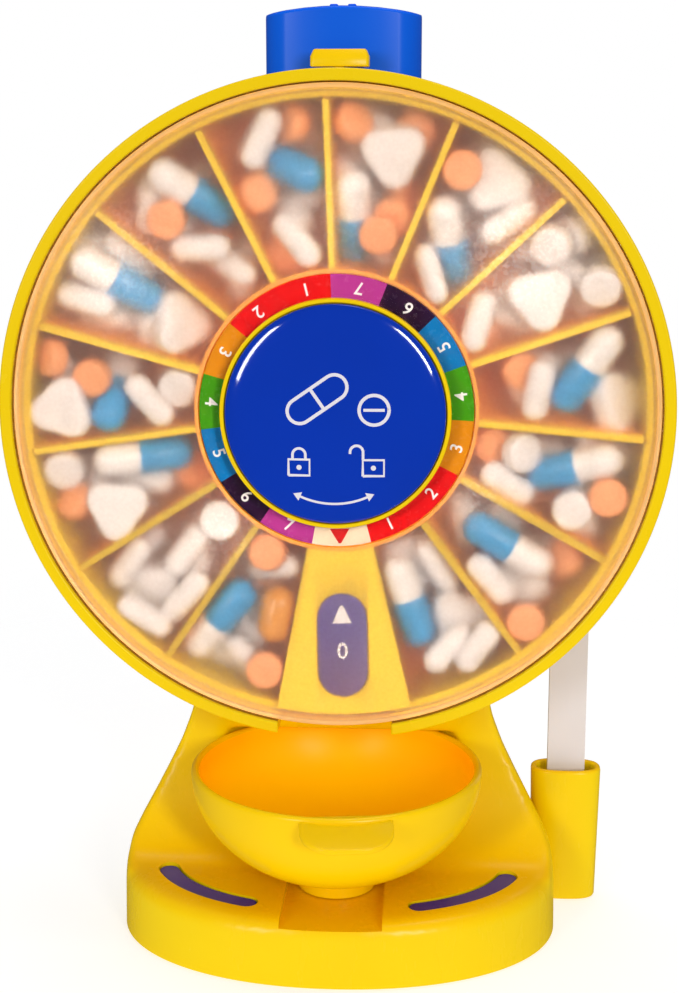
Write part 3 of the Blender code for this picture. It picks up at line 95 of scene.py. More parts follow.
# Colours as they are seen: red, green, blue from 0 to 255
# TOP_SHADE_YELLOW is painted shade: a more orange tone for the body's faces that turn upward.
YELLOW, DEEP_YELLOW, TOP_SHADE_YELLOW = (245, 209, 0), (242, 202, 0), (252, 198, 0)
PURPLE_TOP, PURPLE_FOOT, START_CREAM = (84, 66, 146), (112, 78, 120), (232, 208, 184)
WEEK = ((214, 8, 15), (212, 10, 18), (207, 128, 8), (58, 140, 10), (0, 110, 180), (34, 6, 44), (172, 52, 142))
PAINTED_GLEAMS = (  # across and up from the axle, reach and strength of the painted lamp gleams that glow on the cover
    (36, 33, 27, 0.2), (-44, 30, 25, 0.15), (-24, -26, 17, 0.15), (31, -17, 14, 0.14), (0, 40, 26, 0.07),
)


def at(across, depth, height):
    """A place in the frame from millimetres across, behind the drum's rim, and up."""
    return Vector((across, RIM + depth, height)) * MM


ON_AXLE = Matrix.Translation(at(*MIDDLE)) @ Matrix.Scale(MM, 4)


def seen(colour):
    """A colour in the linear values that shaders take."""
    parts = [part / 255 for part in colour]
    return tuple(part / 12.92 if part < 0.04045 else ((part + 0.055) / 1.055) ** 2.4 for part in parts) + (1,)


def operator(operation, swapped=False):
    """A Python operator that adds the Math node of this name."""
    def act(one, other):
        values = (other, one) if swapped else (one, other)
        return one.finish.node("ShaderNodeMath", {"operation": operation}, dict(enumerate(values)))
    return act


class Value:
    """A shader socket that Python's own operators work on."""

    def __init__(self, finish, socket):
        self.finish, self.socket = finish, socket

    __add__ = __radd__ = operator("ADD")
    __sub__, __rsub__ = operator("SUBTRACT"), operator("SUBTRACT", swapped=True)
    __mul__ = __rmul__ = operator("MULTIPLY")
    __truediv__, __pow__ = operator("DIVIDE"), operator("POWER")
    __gt__, __lt__ = operator("GREATER_THAN"), operator("LESS_THAN")


class Finish:
    """A Principled material, and the patterns that its sockets are fed from."""

    def __init__(self, name, colour, roughness, shine=0.5, **constants):
        self.material = bpy.data.materials.new(name)
        self.material.use_nodes = True
        self.tree = self.material.node_tree
        self.shader = self.tree.nodes["Principled BSDF"]
        self.material.diffuse_color = seen(colour)
        self.feed("Base Color", seen(colour))
        self.feed("Roughness", roughness)
        self.feed("Specular IOR Level", shine)
        for socket, value in constants.items():
            self.feed(socket.replace("_", " "), value)

    def node(self, kind, settings=None, sockets=None, output=0):
        """A node with its settings and then its sockets filled in; gives one of its outputs."""
        made = self.tree.nodes.new(kind)
        for setting, value in (settings or {}).items():
            setattr(made, setting, value)
        for key, value in (sockets or {}).items():
            if isinstance(value, Value):
                self.tree.links.new(value.socket, made.inputs[key])
            else:
                made.inputs[key].default_value = value
        return Value(self, made.outputs[output])

    def feed(self, socket, value):
        if isinstance(value, Value):
            self.tree.links.new(value.socket, self.shader.inputs[socket])
        else:
            self.shader.inputs[socket].default_value = value

    def place(self, centre=(0, 0, 0), scale=(1, 1, 1)):
        """The surface's own coordinates, centred and stretched."""
        spot = self.node("ShaderNodeTexCoord", output="Object")
        moved = self.node("ShaderNodeVectorMath", {"operation": "SUBTRACT"}, {0: spot, 1: centre})
        return self.node("ShaderNodeMapping", None, {"Vector": moved, "Scale": scale})

    def parts(self, vector):
        return [self.node("ShaderNodeSeparateXYZ", None, {0: vector}, output) for output in range(3)]

    def noise(self, grain, detail=2.0, rough=0.5, where=None):
        """Cloudy noise from 0 to 1 whose lumps are about this many millimetres wide."""
        sockets = {"Vector": where or self.place(), "Scale": 1 / (grain * MM), "Detail": detail, "Roughness": rough}
        return self.node("ShaderNodeTexNoise", None, sockets)

    def blend(self, one, other, share):
        """One colour going over to the other; each is as it is seen, or is itself a blend."""
        one, other = [tone if isinstance(tone, Value) else seen(tone) for tone in (one, other)]
        return self.node("ShaderNodeMix", {"data_type": "RGBA"}, {0: share, 6: one, 7: other}, 2)

    def tint(self, one, other, share):
        self.feed("Base Color", self.blend(one, other, share))

    def spread(self, value, low, high):
        """A value brought from this span to 0 and 1, held at the ends."""
        return self.node("ShaderNodeMapRange", None, {0: value, 1: low, 2: high})

    def relief(self, height, depth, strength=0.5):
        """Bumps this many millimetres deep."""
        sockets = {"Strength": strength, "Distance": depth * MM, "Height": height}
        self.feed("Normal", self.node("ShaderNodeBump", None, sockets))

    def skin(self, roughness, swing, flow, grain, depth, strength=0.5):
        """The last step of most finishes: roughness that drifts with one noise, and bumps from another."""
        self.feed("Roughness", roughness + swing * self.noise(*flow))
        self.relief(self.noise(*grain), depth, strength)
        return self.material


def moulded(name, colour, deep, roughness=0.27, grain=0.35, depth=0.003, above=None, **constants):
    """Moulded plastic: slow colour drift, flow marks in the gloss, a fine grain, and painted lighting on faces that
    turn upward.
    """
    made = Finish(name, colour, roughness, **constants)
    tone = made.blend(colour, deep, made.spread(made.noise(38, 3), 0.3, 0.8))
    # Painted lighting: faces turned upward take the given colour, painted shade on the body and painted light inside
    # the bowl.
    if above:
        _, _, up = made.parts(made.node("ShaderNodeNewGeometry", output="Normal"))
        tone = made.blend(tone, above, made.spread(up, 0.1, 0.95))
    made.feed("Base Color", tone)
    return made.skin(roughness - 0.04, 0.08, (7, 4, 0.6, made.place(scale=(1, 1, 0.3))), (grain, 2), depth)


def printed_ring():
    """The week's colours round the ring, each segment from its angle about the axle."""
    made = Finish("ring_print", WEEK[0], 0.3, shine=0.25)
    across, _, up = made.parts(made.place(AXLE_SPOT))
    angle = made.node("ShaderNodeMath", {"operation": "ARCTAN2"}, {0: up, 1: across})
    turn = (angle - START_ANGLE + PITCH / 2) / (2 * pi)
    share = made.node("ShaderNodeMath", {"operation": "FRACT"}, {0: turn + 1.0})
    band = made.node("ShaderNodeValToRGB", None, {0: share})
    ramp = band.socket.node.color_ramp
    ramp.interpolation = "CONSTANT"
    for index, colour in enumerate([START_CREAM] + list(WEEK) * 2):
        stop = ramp.elements[index] if index < 2 else ramp.elements.new(index / SECTORS)
        stop.position, stop.color = index / SECTORS, seen(colour)
    made.tint(band, (120, 70, 60), 0.18 * made.spread(made.noise(3.0, 5, 0.7), 0.45, 0.95))
    return made.skin(0.2, 0.12, (1.2, 3), (0.5, 3), 0.006)


def see_through(made, tint):
    """Lets lamps shine through a clear finish, a little dimmed, instead of casting its shadow."""
    path = made.node("ShaderNodeLightPath", output="Is Shadow Ray")
    clear = made.node("ShaderNodeBsdfTransparent", None, {"Color": seen(tint)})
    body = Value(made, made.shader.outputs[0])
    both = made.node("ShaderNodeMixShader", None, {0: path, 1: body, 2: clear})
    made.tree.links.new(both.socket, made.tree.nodes["Material Output"].inputs["Surface"])
    return made.material


def frosted():
    """The cover outside the numbers: finely grained, with painted lamp gleams glowing in some places, and what lies
    deep is blurred.
    """
    made = Finish("cover_frost", (252, 242, 234), 0.3, IOR=1.45, Transmission_Weight=0.97, Emission_Strength=1.0)
    grain, sparkle = made.noise(0.75, 2), made.noise(0.8, 1)
    made.tint((245, 237, 229), (235, 224, 215), made.spread(grain, 0.3, 0.75))
    made.feed("Roughness", 0.33 + 0.12 * made.noise(5, 3))
    across, _, up = made.parts(made.place(AXLE_SPOT))
    # Painted lamp gleams: patches that glow through the emission, standing in for the soft boxes' reflections,
    # sparkling with the grain.
    painted_gleam = 0.0
    for side, rise, reach, most in PAINTED_GLEAMS:
        away = ((across - side * MM) ** 2 + (up - rise * MM) ** 2) ** 0.5
        painted_gleam = painted_gleam + most * made.spread(away + 0.006 * made.noise(9, 2), reach * MM, 0.0) ** 1.5
    gleam_sparkle = 0.45 + 1.5 * made.spread(sparkle, 0.48, 0.66)
    made.feed("Emission Color", made.blend((0, 0, 0), (236, 220, 212), painted_gleam * gleam_sparkle))
    made.relief(grain, 0.035, 0.7)
    return see_through(made, (252, 248, 240))


def cover_edge():
    """The cover's thick outer band, where the frosted plastic looks pale and nearly solid, with a faint orange
    painted glow.
    """
    # The orange emission is a painted glow; the band is no lamp.
    made = Finish("cover_edge", (248, 216, 160), 0.3, IOR=1.45, Transmission_Weight=0.68, shine=0.6,
                  Emission_Color=seen((255, 200, 120)), Emission_Strength=0.12)
    made.tint((255, 230, 180), (246, 208, 140), made.noise(6, 3))
    made.relief(made.noise(0.75, 2), 0.03)
    return see_through(made, (236, 222, 200))


def clear_window():
    """The cover over the numbers and round the knob: the same plastic, left smooth."""
    made = Finish("cover_clear", (255, 252, 246), 0.03, IOR=1.3, Transmission_Weight=1.0)
    made.skin(0.015, 0.03, (4, 3), (9, 2), 0.01, 0.3)
    return see_through(made, (250, 247, 240))


def wheel_plastic():
    """The wheel: lemon yellow along its front edges, with painted shade that turns it browner down in the pockets
    and in a thin ring round the numbers.
    """
    made = Finish("wheel_yellow", (246, 210, 40), 0.42, shine=0.2)
    across, deep, up = made.parts(made.place(AXLE_SPOT))
    away = (across * across + up * up) ** 0.5
    fall = COVER_DISH / (BAND_RADIUS - WINDOW_RADIUS)
    behind = deep - ((COVER_RIM + COVER_DISH) * MM - (away - WINDOW_RADIUS * MM) * fall)
    # Painted shade: the deeper behind the cover, the browner.
    share = made.spread(behind + 0.001 * made.noise(6, 3), 3.2 * MM, 7.5 * MM)
    # Painted shade also in the narrow ring between the numbers and the frosted part.
    lip = (away < (WINDOW_RADIUS + 0.1) * MM) * (away > (RING_OUTER - 0.2) * MM)
    shaded = share + 0.8 * lip * (1 - share)
    made.tint((246, 208, 30), (250, 152, 52), shaded)
    return made.skin(0.38, 0.1, (7, 4), (0.5, 2), 0.006)


def casing_plastic():
    """The casing: the body's yellow, with painted shade making it dark in the narrow gap between the rim and the
    cover.
    """
    made = Finish("casing_yellow", YELLOW, 0.27, shine=0.2)
    across, deep, up = made.parts(made.place(AXLE_SPOT))
    away = (across * across + up * up) ** 0.5
    # Painted shade in the narrow gap between the rim and the cover.
    painted_gap_shade = (away > (COVER_RADIUS - 0.3) * MM) * (away < (COVER_RADIUS + 0.42) * MM)
    painted_gap_shade = painted_gap_shade * (deep > 0.9 * MM) * (deep < 5.5 * MM)
    tone = made.blend(YELLOW, DEEP_YELLOW, made.spread(made.noise(38, 3), 0.3, 0.8))
    made.tint(tone, (116, 58, 4), 0.85 * painted_gap_shade)
    return made.skin(0.23, 0.08, (7, 4), (0.35, 2), 0.003)


def gelled(name, colour, roughness, speck=None, **constants):
    """Pill finishes: a soft drift of colour, with specks where a tablet is pressed powder."""
    made = Finish(name, colour, roughness, **constants)
    tone = made.blend(colour, [part * 0.9 for part in colour], made.spread(made.noise(4, 3), 0.2, 0.9))
    if speck:
        tone = made.blend(tone, speck, 0.6 * (made.noise(0.7, 2) > 0.66))
    made.feed("Base Color", tone)
    return made.skin(roughness, 0.1, (1.5, 2), (0.6, 3), 0.02)


def label_print():
    """The START label: violet above, going over to a dusty purple at its foot."""
    made = Finish("label_purple", PURPLE_TOP, 0.4)
    _, _, up = made.parts(made.place(AXLE_SPOT))
    share = made.spread(up + 0.002 * made.noise(2, 3), -0.046, -0.062)
    made.tint(made.blend(PURPLE_TOP, PURPLE_FOOT, share), (60, 44, 100), 0.25 * made.noise(0.6, 3))
    return made.skin(0.36, 0.1, (1.0, 2), (0.3, 2), 0.01)


def metal(name, colour, roughness):
    """Turned or drawn steel with fine lines and a little dulling."""
    made = Finish(name, colour, roughness, Metallic=1.0)
    lines = made.noise(0.25, 3, 0.6, made.place(scale=(1, 1, 8)))
    made.tint(colour, [part * 0.75 for part in colour], made.noise(2, 3))
    made.feed("Roughness", roughness + 0.15 * lines)
    made.relief(lines, 0.004)
    return made.material


def rubber():
    """Dull black rubber."""
    made = Finish("foot_rubber", (30, 30, 31), 0.75)
    made.tint((30, 30, 31), (52, 51, 50), made.noise(1.5, 4))
    return made.skin(0.68, 0.2, (0.8, 2), (0.4, 2), 0.03, 0.6)


# The bowl's inside: painted light, lighter where it faces up, and an orange painted glow, though the bowl is no
# lamp.
BOWL_PAINTED_GLOW = moulded("bowl_painted_glow", (255, 196, 0), (255, 188, 0), 0.34, above=(255, 238, 0),
                      shine=0.12, Emission_Color=seen((255, 120, 0)), Emission_Strength=0.15)
DISH_YELLOW = moulded("dish_yellow", (252, 206, 0), (250, 200, 0), 0.24, shine=0.22)
# The body's upward faces get painted shade.
BODY_YELLOW = moulded("yellow_plastic", YELLOW, DEEP_YELLOW, above=TOP_SHADE_YELLOW, shine=0.2)
WHEEL_YELLOW, CASING_YELLOW = wheel_plastic(), casing_plastic()
LEVER = moulded("lever_blue", (10, 98, 240), (6, 90, 228), 0.3, 0.45, 0.005, shine=0.14)
DOME = moulded("dome_blue", (0, 54, 182), (0, 50, 170), 0.08, 2.0, 0.0005, Coat_Weight=0.6, Coat_Roughness=0.02)
STICK = moulded("scoop_white", (227, 221, 222), (222, 212, 208), 0.4, 0.5, 0.006)
WORKS = moulded("works_white", (224, 222, 214), (208, 204, 192), 0.45, 0.5, 0.01)
PADS = moulded("pad_purple", (50, 44, 166), (50, 28, 124), 0.2, 0.5, 0.004, shine=0.25)
MARKS = moulded("print_white", (236, 232, 236), (226, 220, 230), 0.35, 0.5, 0.004)
START_MARK = moulded("print_red", (206, 14, 18), (180, 10, 14), 0.3, 0.5, 0.004)
FROST, CLEAR, EDGE, RING, LABEL = frosted(), clear_window(), cover_edge(), printed_ring(), label_print()
STEEL, RUBBER = metal("screw_steel", (190, 190, 194), 0.28), rubber()
SHELL_WHITE = gelled("capsule_white", (246, 246, 252), 0.25)
SHELL_BLUE = gelled("capsule_blue", (44, 158, 228), 0.25)
TABLET_ORANGE = gelled("tablet_orange", (250, 168, 110), 0.5, (252, 196, 150))
TABLET_WHITE = gelled("tablet_white", (242, 240, 246), 0.5, (222, 216, 218))
AMBER = gelled("softgel_amber", (226, 150, 40), 0.15, Coat_Weight=0.5)


def turned(profile, about=MIDDLE, upright=False, steps=AROUND):
    """A profile of (radius, distance along the axis) spun about a point's depth or height axis."""
    bm = bmesh.new()
    spot = at(*about)
    verts = [bm.verts.new(spot + Vector((r, 0, h) if upright else (r, h, 0)) * MM) for r, h in profile]
    ends = verts[1:] if profile[0][0] == 0 else verts[1:] + verts[:1]
    edges = [bm.edges.new(pair) for pair in zip(verts, ends)]
    axis = (0, 0, 1) if upright else (0, 1, 0)
    bmesh.ops.spin(bm, geom=verts + edges, cent=spot, axis=axis, angle=2 * pi, steps=steps, use_merge=True)
    bmesh.ops.remove_doubles(bm, verts=bm.verts, dist=0.001 * MM)
    bmesh.ops.recalc_face_normals(bm, faces=bm.faces)
    return bm


def arc(radius, start, finish, steps, centre=(0, 0)):
    """Points along an arc between two angles in degrees."""
    angles = [radians(start + (finish - start) * step / steps) for step in range(steps + 1)]
    return [(centre[0] + radius * cos(a), centre[1] + radius * sin(a)) for a in angles]


def quarter(steps):
    """Angles from nothing to a quarter turn."""
    return [pi / 2 * step / steps for step in range(steps + 1)]


def merged(node):
    """A solid's own shape as one joined skin."""
    bm = bmesh.new()
    bm.from_mesh(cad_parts[node].data)
    bmesh.ops.remove_doubles(bm, verts=bm.verts, dist=0.01 * MM)
    bmesh.ops.dissolve_limit(bm, angle_limit=radians(0.4), verts=bm.verts, edges=bm.edges)
    return bm


def cast(bm, name="shape"):
    """A shape as a mesh."""
    mesh = bpy.data.meshes.new(name)
    bm.to_mesh(mesh)
    bm.free()
    return mesh


def shown(name, data):
    """Some data as an object in the scene."""
    made = bpy.data.objects.new(name, data)
    bpy.context.scene.collection.objects.link(made)
    return made


def finished(name, bm, body, finish, stands_for=(), soft=0.0, sharp=35, even=False):
    """A piece from its shape: it rides on a body, stands for solids, and gets soft or sharp edges."""
    mesh = cast(bm, name)
    mesh.shade_smooth()
    if not soft:
        mesh.set_sharp_from_angle(angle=radians(sharp))
    for one in finish if isinstance(finish, list) else (finish,):
        mesh.materials.append(one)
    made = shown(name, mesh)
    if soft:
        edge = made.modifiers.new("soft edges", "BEVEL")
        edge.width, edge.segments = soft * MM, 3
        edge.limit_method, edge.angle_limit = "ANGLE", radians(sharp)
        edge.harden_normals = True
    if even:
        made.modifiers.new("even shading", "WEIGHTED_NORMAL").keep_sharp = True
    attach(made, body)
    if stands_for:
        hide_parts(*stands_for)
    return made


def shape_from(thing):
    """The shape that an object gives."""
    mesh = bpy.data.meshes.new_from_object(thing)
    bm = bmesh.new()
    bm.from_mesh(mesh)
    bpy.data.meshes.remove(mesh)
    return bm


def taken(*objects):
    """The first object's shape after its modifiers; all of them are cleared away."""
    bm = shape_from(objects[0].evaluated_get(bpy.context.evaluated_depsgraph_get()))
    for one in objects:
        bpy.data.meshes.remove(one.data)
    return bm


def combined(shape, tool, operation="DIFFERENCE"):
    """A shape with a tool's shape taken out of it, or put to it."""
    base, other = shown("shape", cast(shape)), shown("shape", cast(tool))
    step = base.modifiers.new("step", "BOOLEAN")
    step.operation, step.solver, step.object = operation, "EXACT", other
    return taken(base, other)


def flowing(shape, grain, passes):
    """A shape whose creases are smoothed into one skin."""
    base = shown("shape", cast(shape))
    skin = base.modifiers.new("skin", "REMESH")
    skin.mode, skin.voxel_size = "VOXEL", grain * MM
    calm = base.modifiers.new("calm", "SMOOTH")
    calm.factor, calm.iterations = 0.5, passes
    return taken(base)


def span(node):
    """A solid's low and high corners and its middle: across, behind the rim, and up."""
    low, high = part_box(node)
    return [(spot.x / MM, spot.y / MM - RIM, spot.z / MM) for spot in (low, high, (low + high) / 2)]


def block(low, high):
    """A block between two corners (across, depth, height)."""
    bm = bmesh.new()
    bmesh.ops.create_cube(bm, size=1)
    a, b = at(*low), at(*high)
    bmesh.ops.scale(bm, vec=b - a, verts=bm.verts)
    bmesh.ops.translate(bm, vec=(a + b) / 2, verts=bm.verts)
    return bm


def cover_front(radius):
    """How deep the cover's sloping front lies at this distance from the axle."""
    return COVER_RIM + (BAND_RADIUS - radius) / (BAND_RADIUS - WINDOW_RADIUS) * COVER_DISH


def drum():
    """The drum's casing with its stepped rim, and the outlet over the bowl."""
    casing = combined(turned(CASING), block(*OUTLET))
    finished("casing", casing, "frame", CASING_YELLOW, ["drum_casing"], 0.7)


def cover():
    """The dished cover: clear in the middle, frosted outside the numbers, and pale along its thick edge."""
    clear, rim, foot, front = RING_OUTER + 0.2, COVER_RIM, COVER_BACK, COVER_RIM + COVER_DISH
    back = front + COVER_WALL
    profile = [(COVER_BORE, front), (clear, front), (WINDOW_RADIUS, front), (BAND_RADIUS, rim), (EDGE_RADIUS, rim),
               (COVER_RADIUS, rim), (COVER_RADIUS, foot), (EDGE_RADIUS, foot), (BAND_RADIUS, foot),
               (BAND_RADIUS, rim + COVER_WALL), (WINDOW_RADIUS, back), (clear, back), (COVER_BORE, back)]
    made = finished("cover", turned(profile), "cover", [FROST, CLEAR, EDGE], ["front_cover"], 0.3)
    middle = at(*MIDDLE)
    for face in made.data.polygons:
        reach = [hypot(spot.x - middle.x, spot.z - middle.z) / MM
                 for spot in (made.data.vertices[corner].co for corner in face.vertices)]
        face.material_index = 1 if max(reach) < clear + 0.1 else 2 if min(reach) > EDGE_RADIUS - 0.1 else 0


def wheel():
    """The sector wheel, the ring round its middle, and the label on its closed sector."""
    finished("wheel", merged("sector_wheel"), "wheel", WHEEL_YELLOW, ["sector_wheel"])
    high = RING_FRONT + RING_WALL
    profile = [(RING_INNER, RING_FRONT), (RING_OUTER, RING_FRONT), (RING_OUTER, high), (RING_INNER, high)]
    finished("ring", turned(profile), "wheel", RING, ["number_ring"], 0.12)
    finished("label", merged("start_label"), "wheel", LABEL, ["start_label"], 0.12)


def lettered(text, size, thick):
    """Plain figures as a mesh that faces the front, centred on the origin, in millimetres."""
    words = bpy.data.curves.new("figures", "FONT")
    words.body, words.size, words.extrude = text, size, thick / 2
    words.align_x, words.align_y = "CENTER", "CENTER"
    words.offset = 0.012 * size
    carrier = shown("figures", words)
    bm = shape_from(carrier)
    bpy.data.objects.remove(carrier)
    bpy.data.curves.remove(words)
    bmesh.ops.remove_doubles(bm, verts=bm.verts, dist=0.001)
    middle = [(min(v.co[i] for v in bm.verts) + max(v.co[i] for v in bm.verts)) / 2 for i in range(3)]
    bmesh.ops.translate(bm, vec=-Vector(middle), verts=bm.verts)
    bmesh.ops.rotate(bm, cent=(0, 0, 0), matrix=Matrix.Rotation(pi / 2, 3, "X"), verts=bm.verts)
    return bm


def plate(outline, thick):
    """A flat outline (across, up) as a thin plate that faces the front."""
    bm = bmesh.new()
    face = bm.faces.new([bm.verts.new((a, -thick / 2, b)) for a, b in outline])
    made = bmesh.ops.extrude_face_region(bm, geom=[face])
    verts = [item for item in made["geom"] if isinstance(item, bmesh.types.BMVert)]
    bmesh.ops.translate(bm, vec=(0, thick, 0), verts=verts)
    bmesh.ops.recalc_face_normals(bm, faces=bm.faces)
    return bm


def gathered(shapes):
    """Several shapes, each with the turn and move that place it, as one."""
    together = bmesh.new()
    for bm, matrix in shapes:
        bmesh.ops.transform(bm, matrix=matrix, verts=bm.verts)
        mesh = cast(bm)
        together.from_mesh(mesh)
        bpy.data.meshes.remove(mesh)
    return together


def round_the_axle(radius, angle, depth):
    """Places a mark made at the origin on a circle about the axle, its top towards the axle."""
    spot = at(radius * cos(angle), depth, AXLE + radius * sin(angle))
    return Matrix.Translation(spot) @ Matrix.Rotation(-(angle + pi / 2), 4, "Y") @ Matrix.Scale(MM, 4)


def ring_marks():
    """Plain numbers, one to seven twice round the ring, and the red pointer on the start segment."""
    radius, depth = (RING_INNER + RING_OUTER) / 2, RING_FRONT - 0.02
    numbers = []
    for index in range(1, SECTORS):
        number = lettered(str((index - 1) % 7 + 1), 3.7, PRINT_THICK)
        numbers.append((number, round_the_axle(radius, START_ANGLE + index * PITCH, depth)))
    finished("ring_numbers", gathered(numbers), "wheel", MARKS)
    pointer = plate([(-2.1, 1.3), (2.1, 1.3), (0.25, -1.9), (-0.25, -1.9)], PRINT_THICK)
    place = round_the_axle(radius, START_ANGLE, depth)
    finished("ring_pointer", gathered([(pointer, place)]), "wheel", START_MARK)


def label_marks():
    """The label's white triangle and a plain nought, on the closed sector's slope."""
    slope = atan2(COVER_DISH, BAND_RADIUS - WINDOW_RADIUS)
    marks = []
    for shape, radius in ((plate([(-2.1, -1.9), (2.1, -1.9), (0.3, 1.9), (-0.3, 1.9)], LABEL_THICK), 43.6),
                          (lettered("0", 4.8, LABEL_THICK), 51.4)):
        local = Vector((0, cover_front(radius) + COVER_WALL + 0.4, -radius)) * MM
        tilt = Matrix.Rotation(-(START_ANGLE + pi / 2), 4, "Y") @ Matrix.Translation(local)
        place = Matrix.Translation(at(*MIDDLE)) @ tilt @ Matrix.Rotation(-slope, 4, "X") @ Matrix.Scale(MM, 4)
        marks.append((shape, place))
    finished("label_marks", gathered(marks), "wheel", MARKS)


def dome_front(radius):
    """How deep the dome's front lies at this distance from its centre."""
    share = min(radius / DOME_RADIUS, 1)
    return DOME_SHOULDER - DOME_CROWN * sqrt(1 - share * share)


def knob():
    """The collar with its lip, and the glossy dome set into it."""
    finished("collar", turned(COLLAR), "knob", BODY_YELLOW, ["knob_collar"], 0.28)
    rise = [(DOME_RADIUS * cos(a), DOME_SHOULDER - DOME_CROWN * sin(a)) for a in quarter(24)[:-1]]
    dome = [(0, DOME_BASE), (DOME_RADIUS, DOME_BASE)] + rise + [(0, DOME_SHOULDER - DOME_CROWN)]
    finished("dome", turned(dome), "knob", DOME, ["knob_dome"], sharp=60)


def stroke(points, width):
    """A line of points as a flat band with square ends."""
    left, right = [], []
    for index, point in enumerate(points):
        before, after = points[max(index - 1, 0)], points[min(index + 1, len(points) - 1)]
        along = Vector((after[0] - before[0], after[1] - before[1])).normalized() * (width / 2)
        left.append((point[0] - along.y, point[1] + along.x))
        right.append((point[0] + along.y, point[1] - along.x))
    return plate(left + right[::-1], PRINT_THICK)


def padlock(across, up, lift):
    """A padlock's outline: a square body with a dot, and a bow that stands to the side when open."""
    half, foot, top, bow_radius, line = 2.2, up - 1.9, up + 1.5, 1.35, 0.55
    left, right = across - half, across + half
    body = [(left, foot), (right, foot), (right, top), (left, top), (left, foot), (left + 0.4, foot)]
    dot = arc(line, 0, 350, 12, (across, up - 0.2))
    centre, short = (across - 2 * half + 0.9, 1.3) if lift else (across, 0)
    bow = [(centre - bow_radius, top + short)] + arc(bow_radius, 180, 0, 12, (centre, up + 2.5 + lift))
    bow += [(centre + bow_radius, top)]
    return [stroke(body, line), stroke(bow, line), plate(dot, PRINT_THICK)]


def knob_marks():
    """Two padlocks, the arrow between them, a plain capsule and a tablet, cut finely and laid on the dome."""
    shapes = padlock(-7.4, -10.6, 0) + padlock(8.1, -10.6, 0.7)
    sweep = arc(16.9, -114.5, -65.5, 24, (-0.2, -1.7))
    shapes.append(stroke(sweep, 0.5))
    for end, before in ((sweep[0], sweep[1]), (sweep[-1], sweep[-2])):
        along = Vector((end[0] - before[0], end[1] - before[1])).normalized()
        side = Vector((-along.y, along.x))
        shapes.append(plate([Vector(end) + along * 1.6, Vector(end) + side, Vector(end) - side], PRINT_THICK))
    lean, centre, line = Matrix.Rotation(radians(35), 2), Vector((-3.6, 3.6)), 0.7
    capsule = arc(2.6, 90, 270, 14, (-4.4, 0)) + arc(2.6, -90, 90, 14, (4.4, 0))
    for points in (capsule + capsule[:2], ((0, -2.3), (0, 2.3))):
        shapes.append(stroke([tuple(lean @ Vector(point) + centre) for point in points], line))
    shapes.append(stroke(arc(3.1, 0, 372, 32, (8.2, 1.4)), line))
    shapes.append(stroke([(6.0, 1.4), (10.4, 1.4)], 0.6))
    bm = gathered([(shape, Matrix.Identity(4)) for shape in shapes])
    for cut in range(-14, 15):
        for normal in ((1, 0, 0), (0, 0, 1)):
            geometry = bm.verts[:] + bm.edges[:] + bm.faces[:]
            spot = Vector(normal) * cut * 1.2
            bmesh.ops.bisect_plane(bm, geom=geometry, plane_co=spot, plane_no=normal)
    for vert in bm.verts:
        vert.co.y += dome_front(hypot(vert.co.x, vert.co.z)) + 0.01
    bmesh.ops.transform(bm, matrix=ON_AXLE, verts=bm.verts)
    finished("knob_marks", bm, "knob", MARKS, sharp=50)


def lever_and_housing():
    """Three pieces that keep their solids' shapes."""
    finished("lever", merged("press_lever"), "lever", LEVER, ["press_lever"], sharp=50, even=True)
    finished("housing", merged("rear_housing"), "frame", BODY_YELLOW, ["rear_housing"], even=True)
    finished("catch", merged("latch_tab"), "frame", BODY_YELLOW, ["latch_tab"], 0.25)


def oval(half_width, half_depth, power, centre, height, count=160):
    """A rounded oval as a ring of places round a centre (across, depth)."""
    points = []
    for step in range(count):
        a = 2 * pi * step / count
        size = (abs(cos(a)) ** power + abs(sin(a)) ** power) ** (-1 / power)
        points.append(at(centre[0] + half_width * cos(a) * size, centre[1] + half_depth * sin(a) * size, height))
    return points


def lofted(rings):
    """Closed rings of places joined into a skin with flat ends."""
    bm = bmesh.new()
    loops = []
    for ring in rings:
        verts = [bm.verts.new(place) for place in ring]
        loops.append([bm.edges.new((verts[i - 1], verts[i])) for i in range(len(verts))])
    for lower, upper in zip(loops, loops[1:]):
        bmesh.ops.bridge_loops(bm, edges=lower + upper)
    bmesh.ops.holes_fill(bm, edges=loops[0] + loops[-1], sides=0)
    bmesh.ops.recalc_face_normals(bm, faces=bm.faces)
    return bm


def base_ring(inset, height):
    """The base's outline, drawn in by some millimetres."""
    return oval(BASE_WIDTH - inset, BASE_REACH - inset, BASE_POWER, (0, BASE_CENTRE), height)


def inlay(side, extra, low, high):
    """A bent strip with round ends that keeps its distance from the base's front edge."""
    spine = []
    for step in range(PAD_STEPS + 1):
        across = PAD_FROM + (PAD_TO - PAD_FROM) * step / PAD_STEPS
        along = (1 - (across / (BASE_WIDTH - PAD_SIDE_INSET)) ** BASE_POWER) ** (1 / BASE_POWER)
        spine.append(Vector((side * across, BASE_CENTRE - (BASE_REACH - PAD_FRONT_INSET) * along)))
    sides = [[], []]
    for index, point in enumerate(spine):
        along = spine[min(index + 1, PAD_STEPS)] - spine[max(index - 1, 0)]
        aside = Vector((-along.y, along.x)).normalized() * (PAD_HALF + extra)
        sides[0].append(point + aside)
        sides[1].append(point - aside)
    outline = []
    for edge, centre in ((sides[0], spine[-1]), (sides[1][::-1], spine[0])):
        outline += edge
        start = edge[-1] - centre
        outline += [centre + start @ Matrix.Rotation(pi * step / 10, 2) for step in range(1, 10)]
    return lofted([[at(point.x, point.y, height) for point in outline] for height in (low, high)])


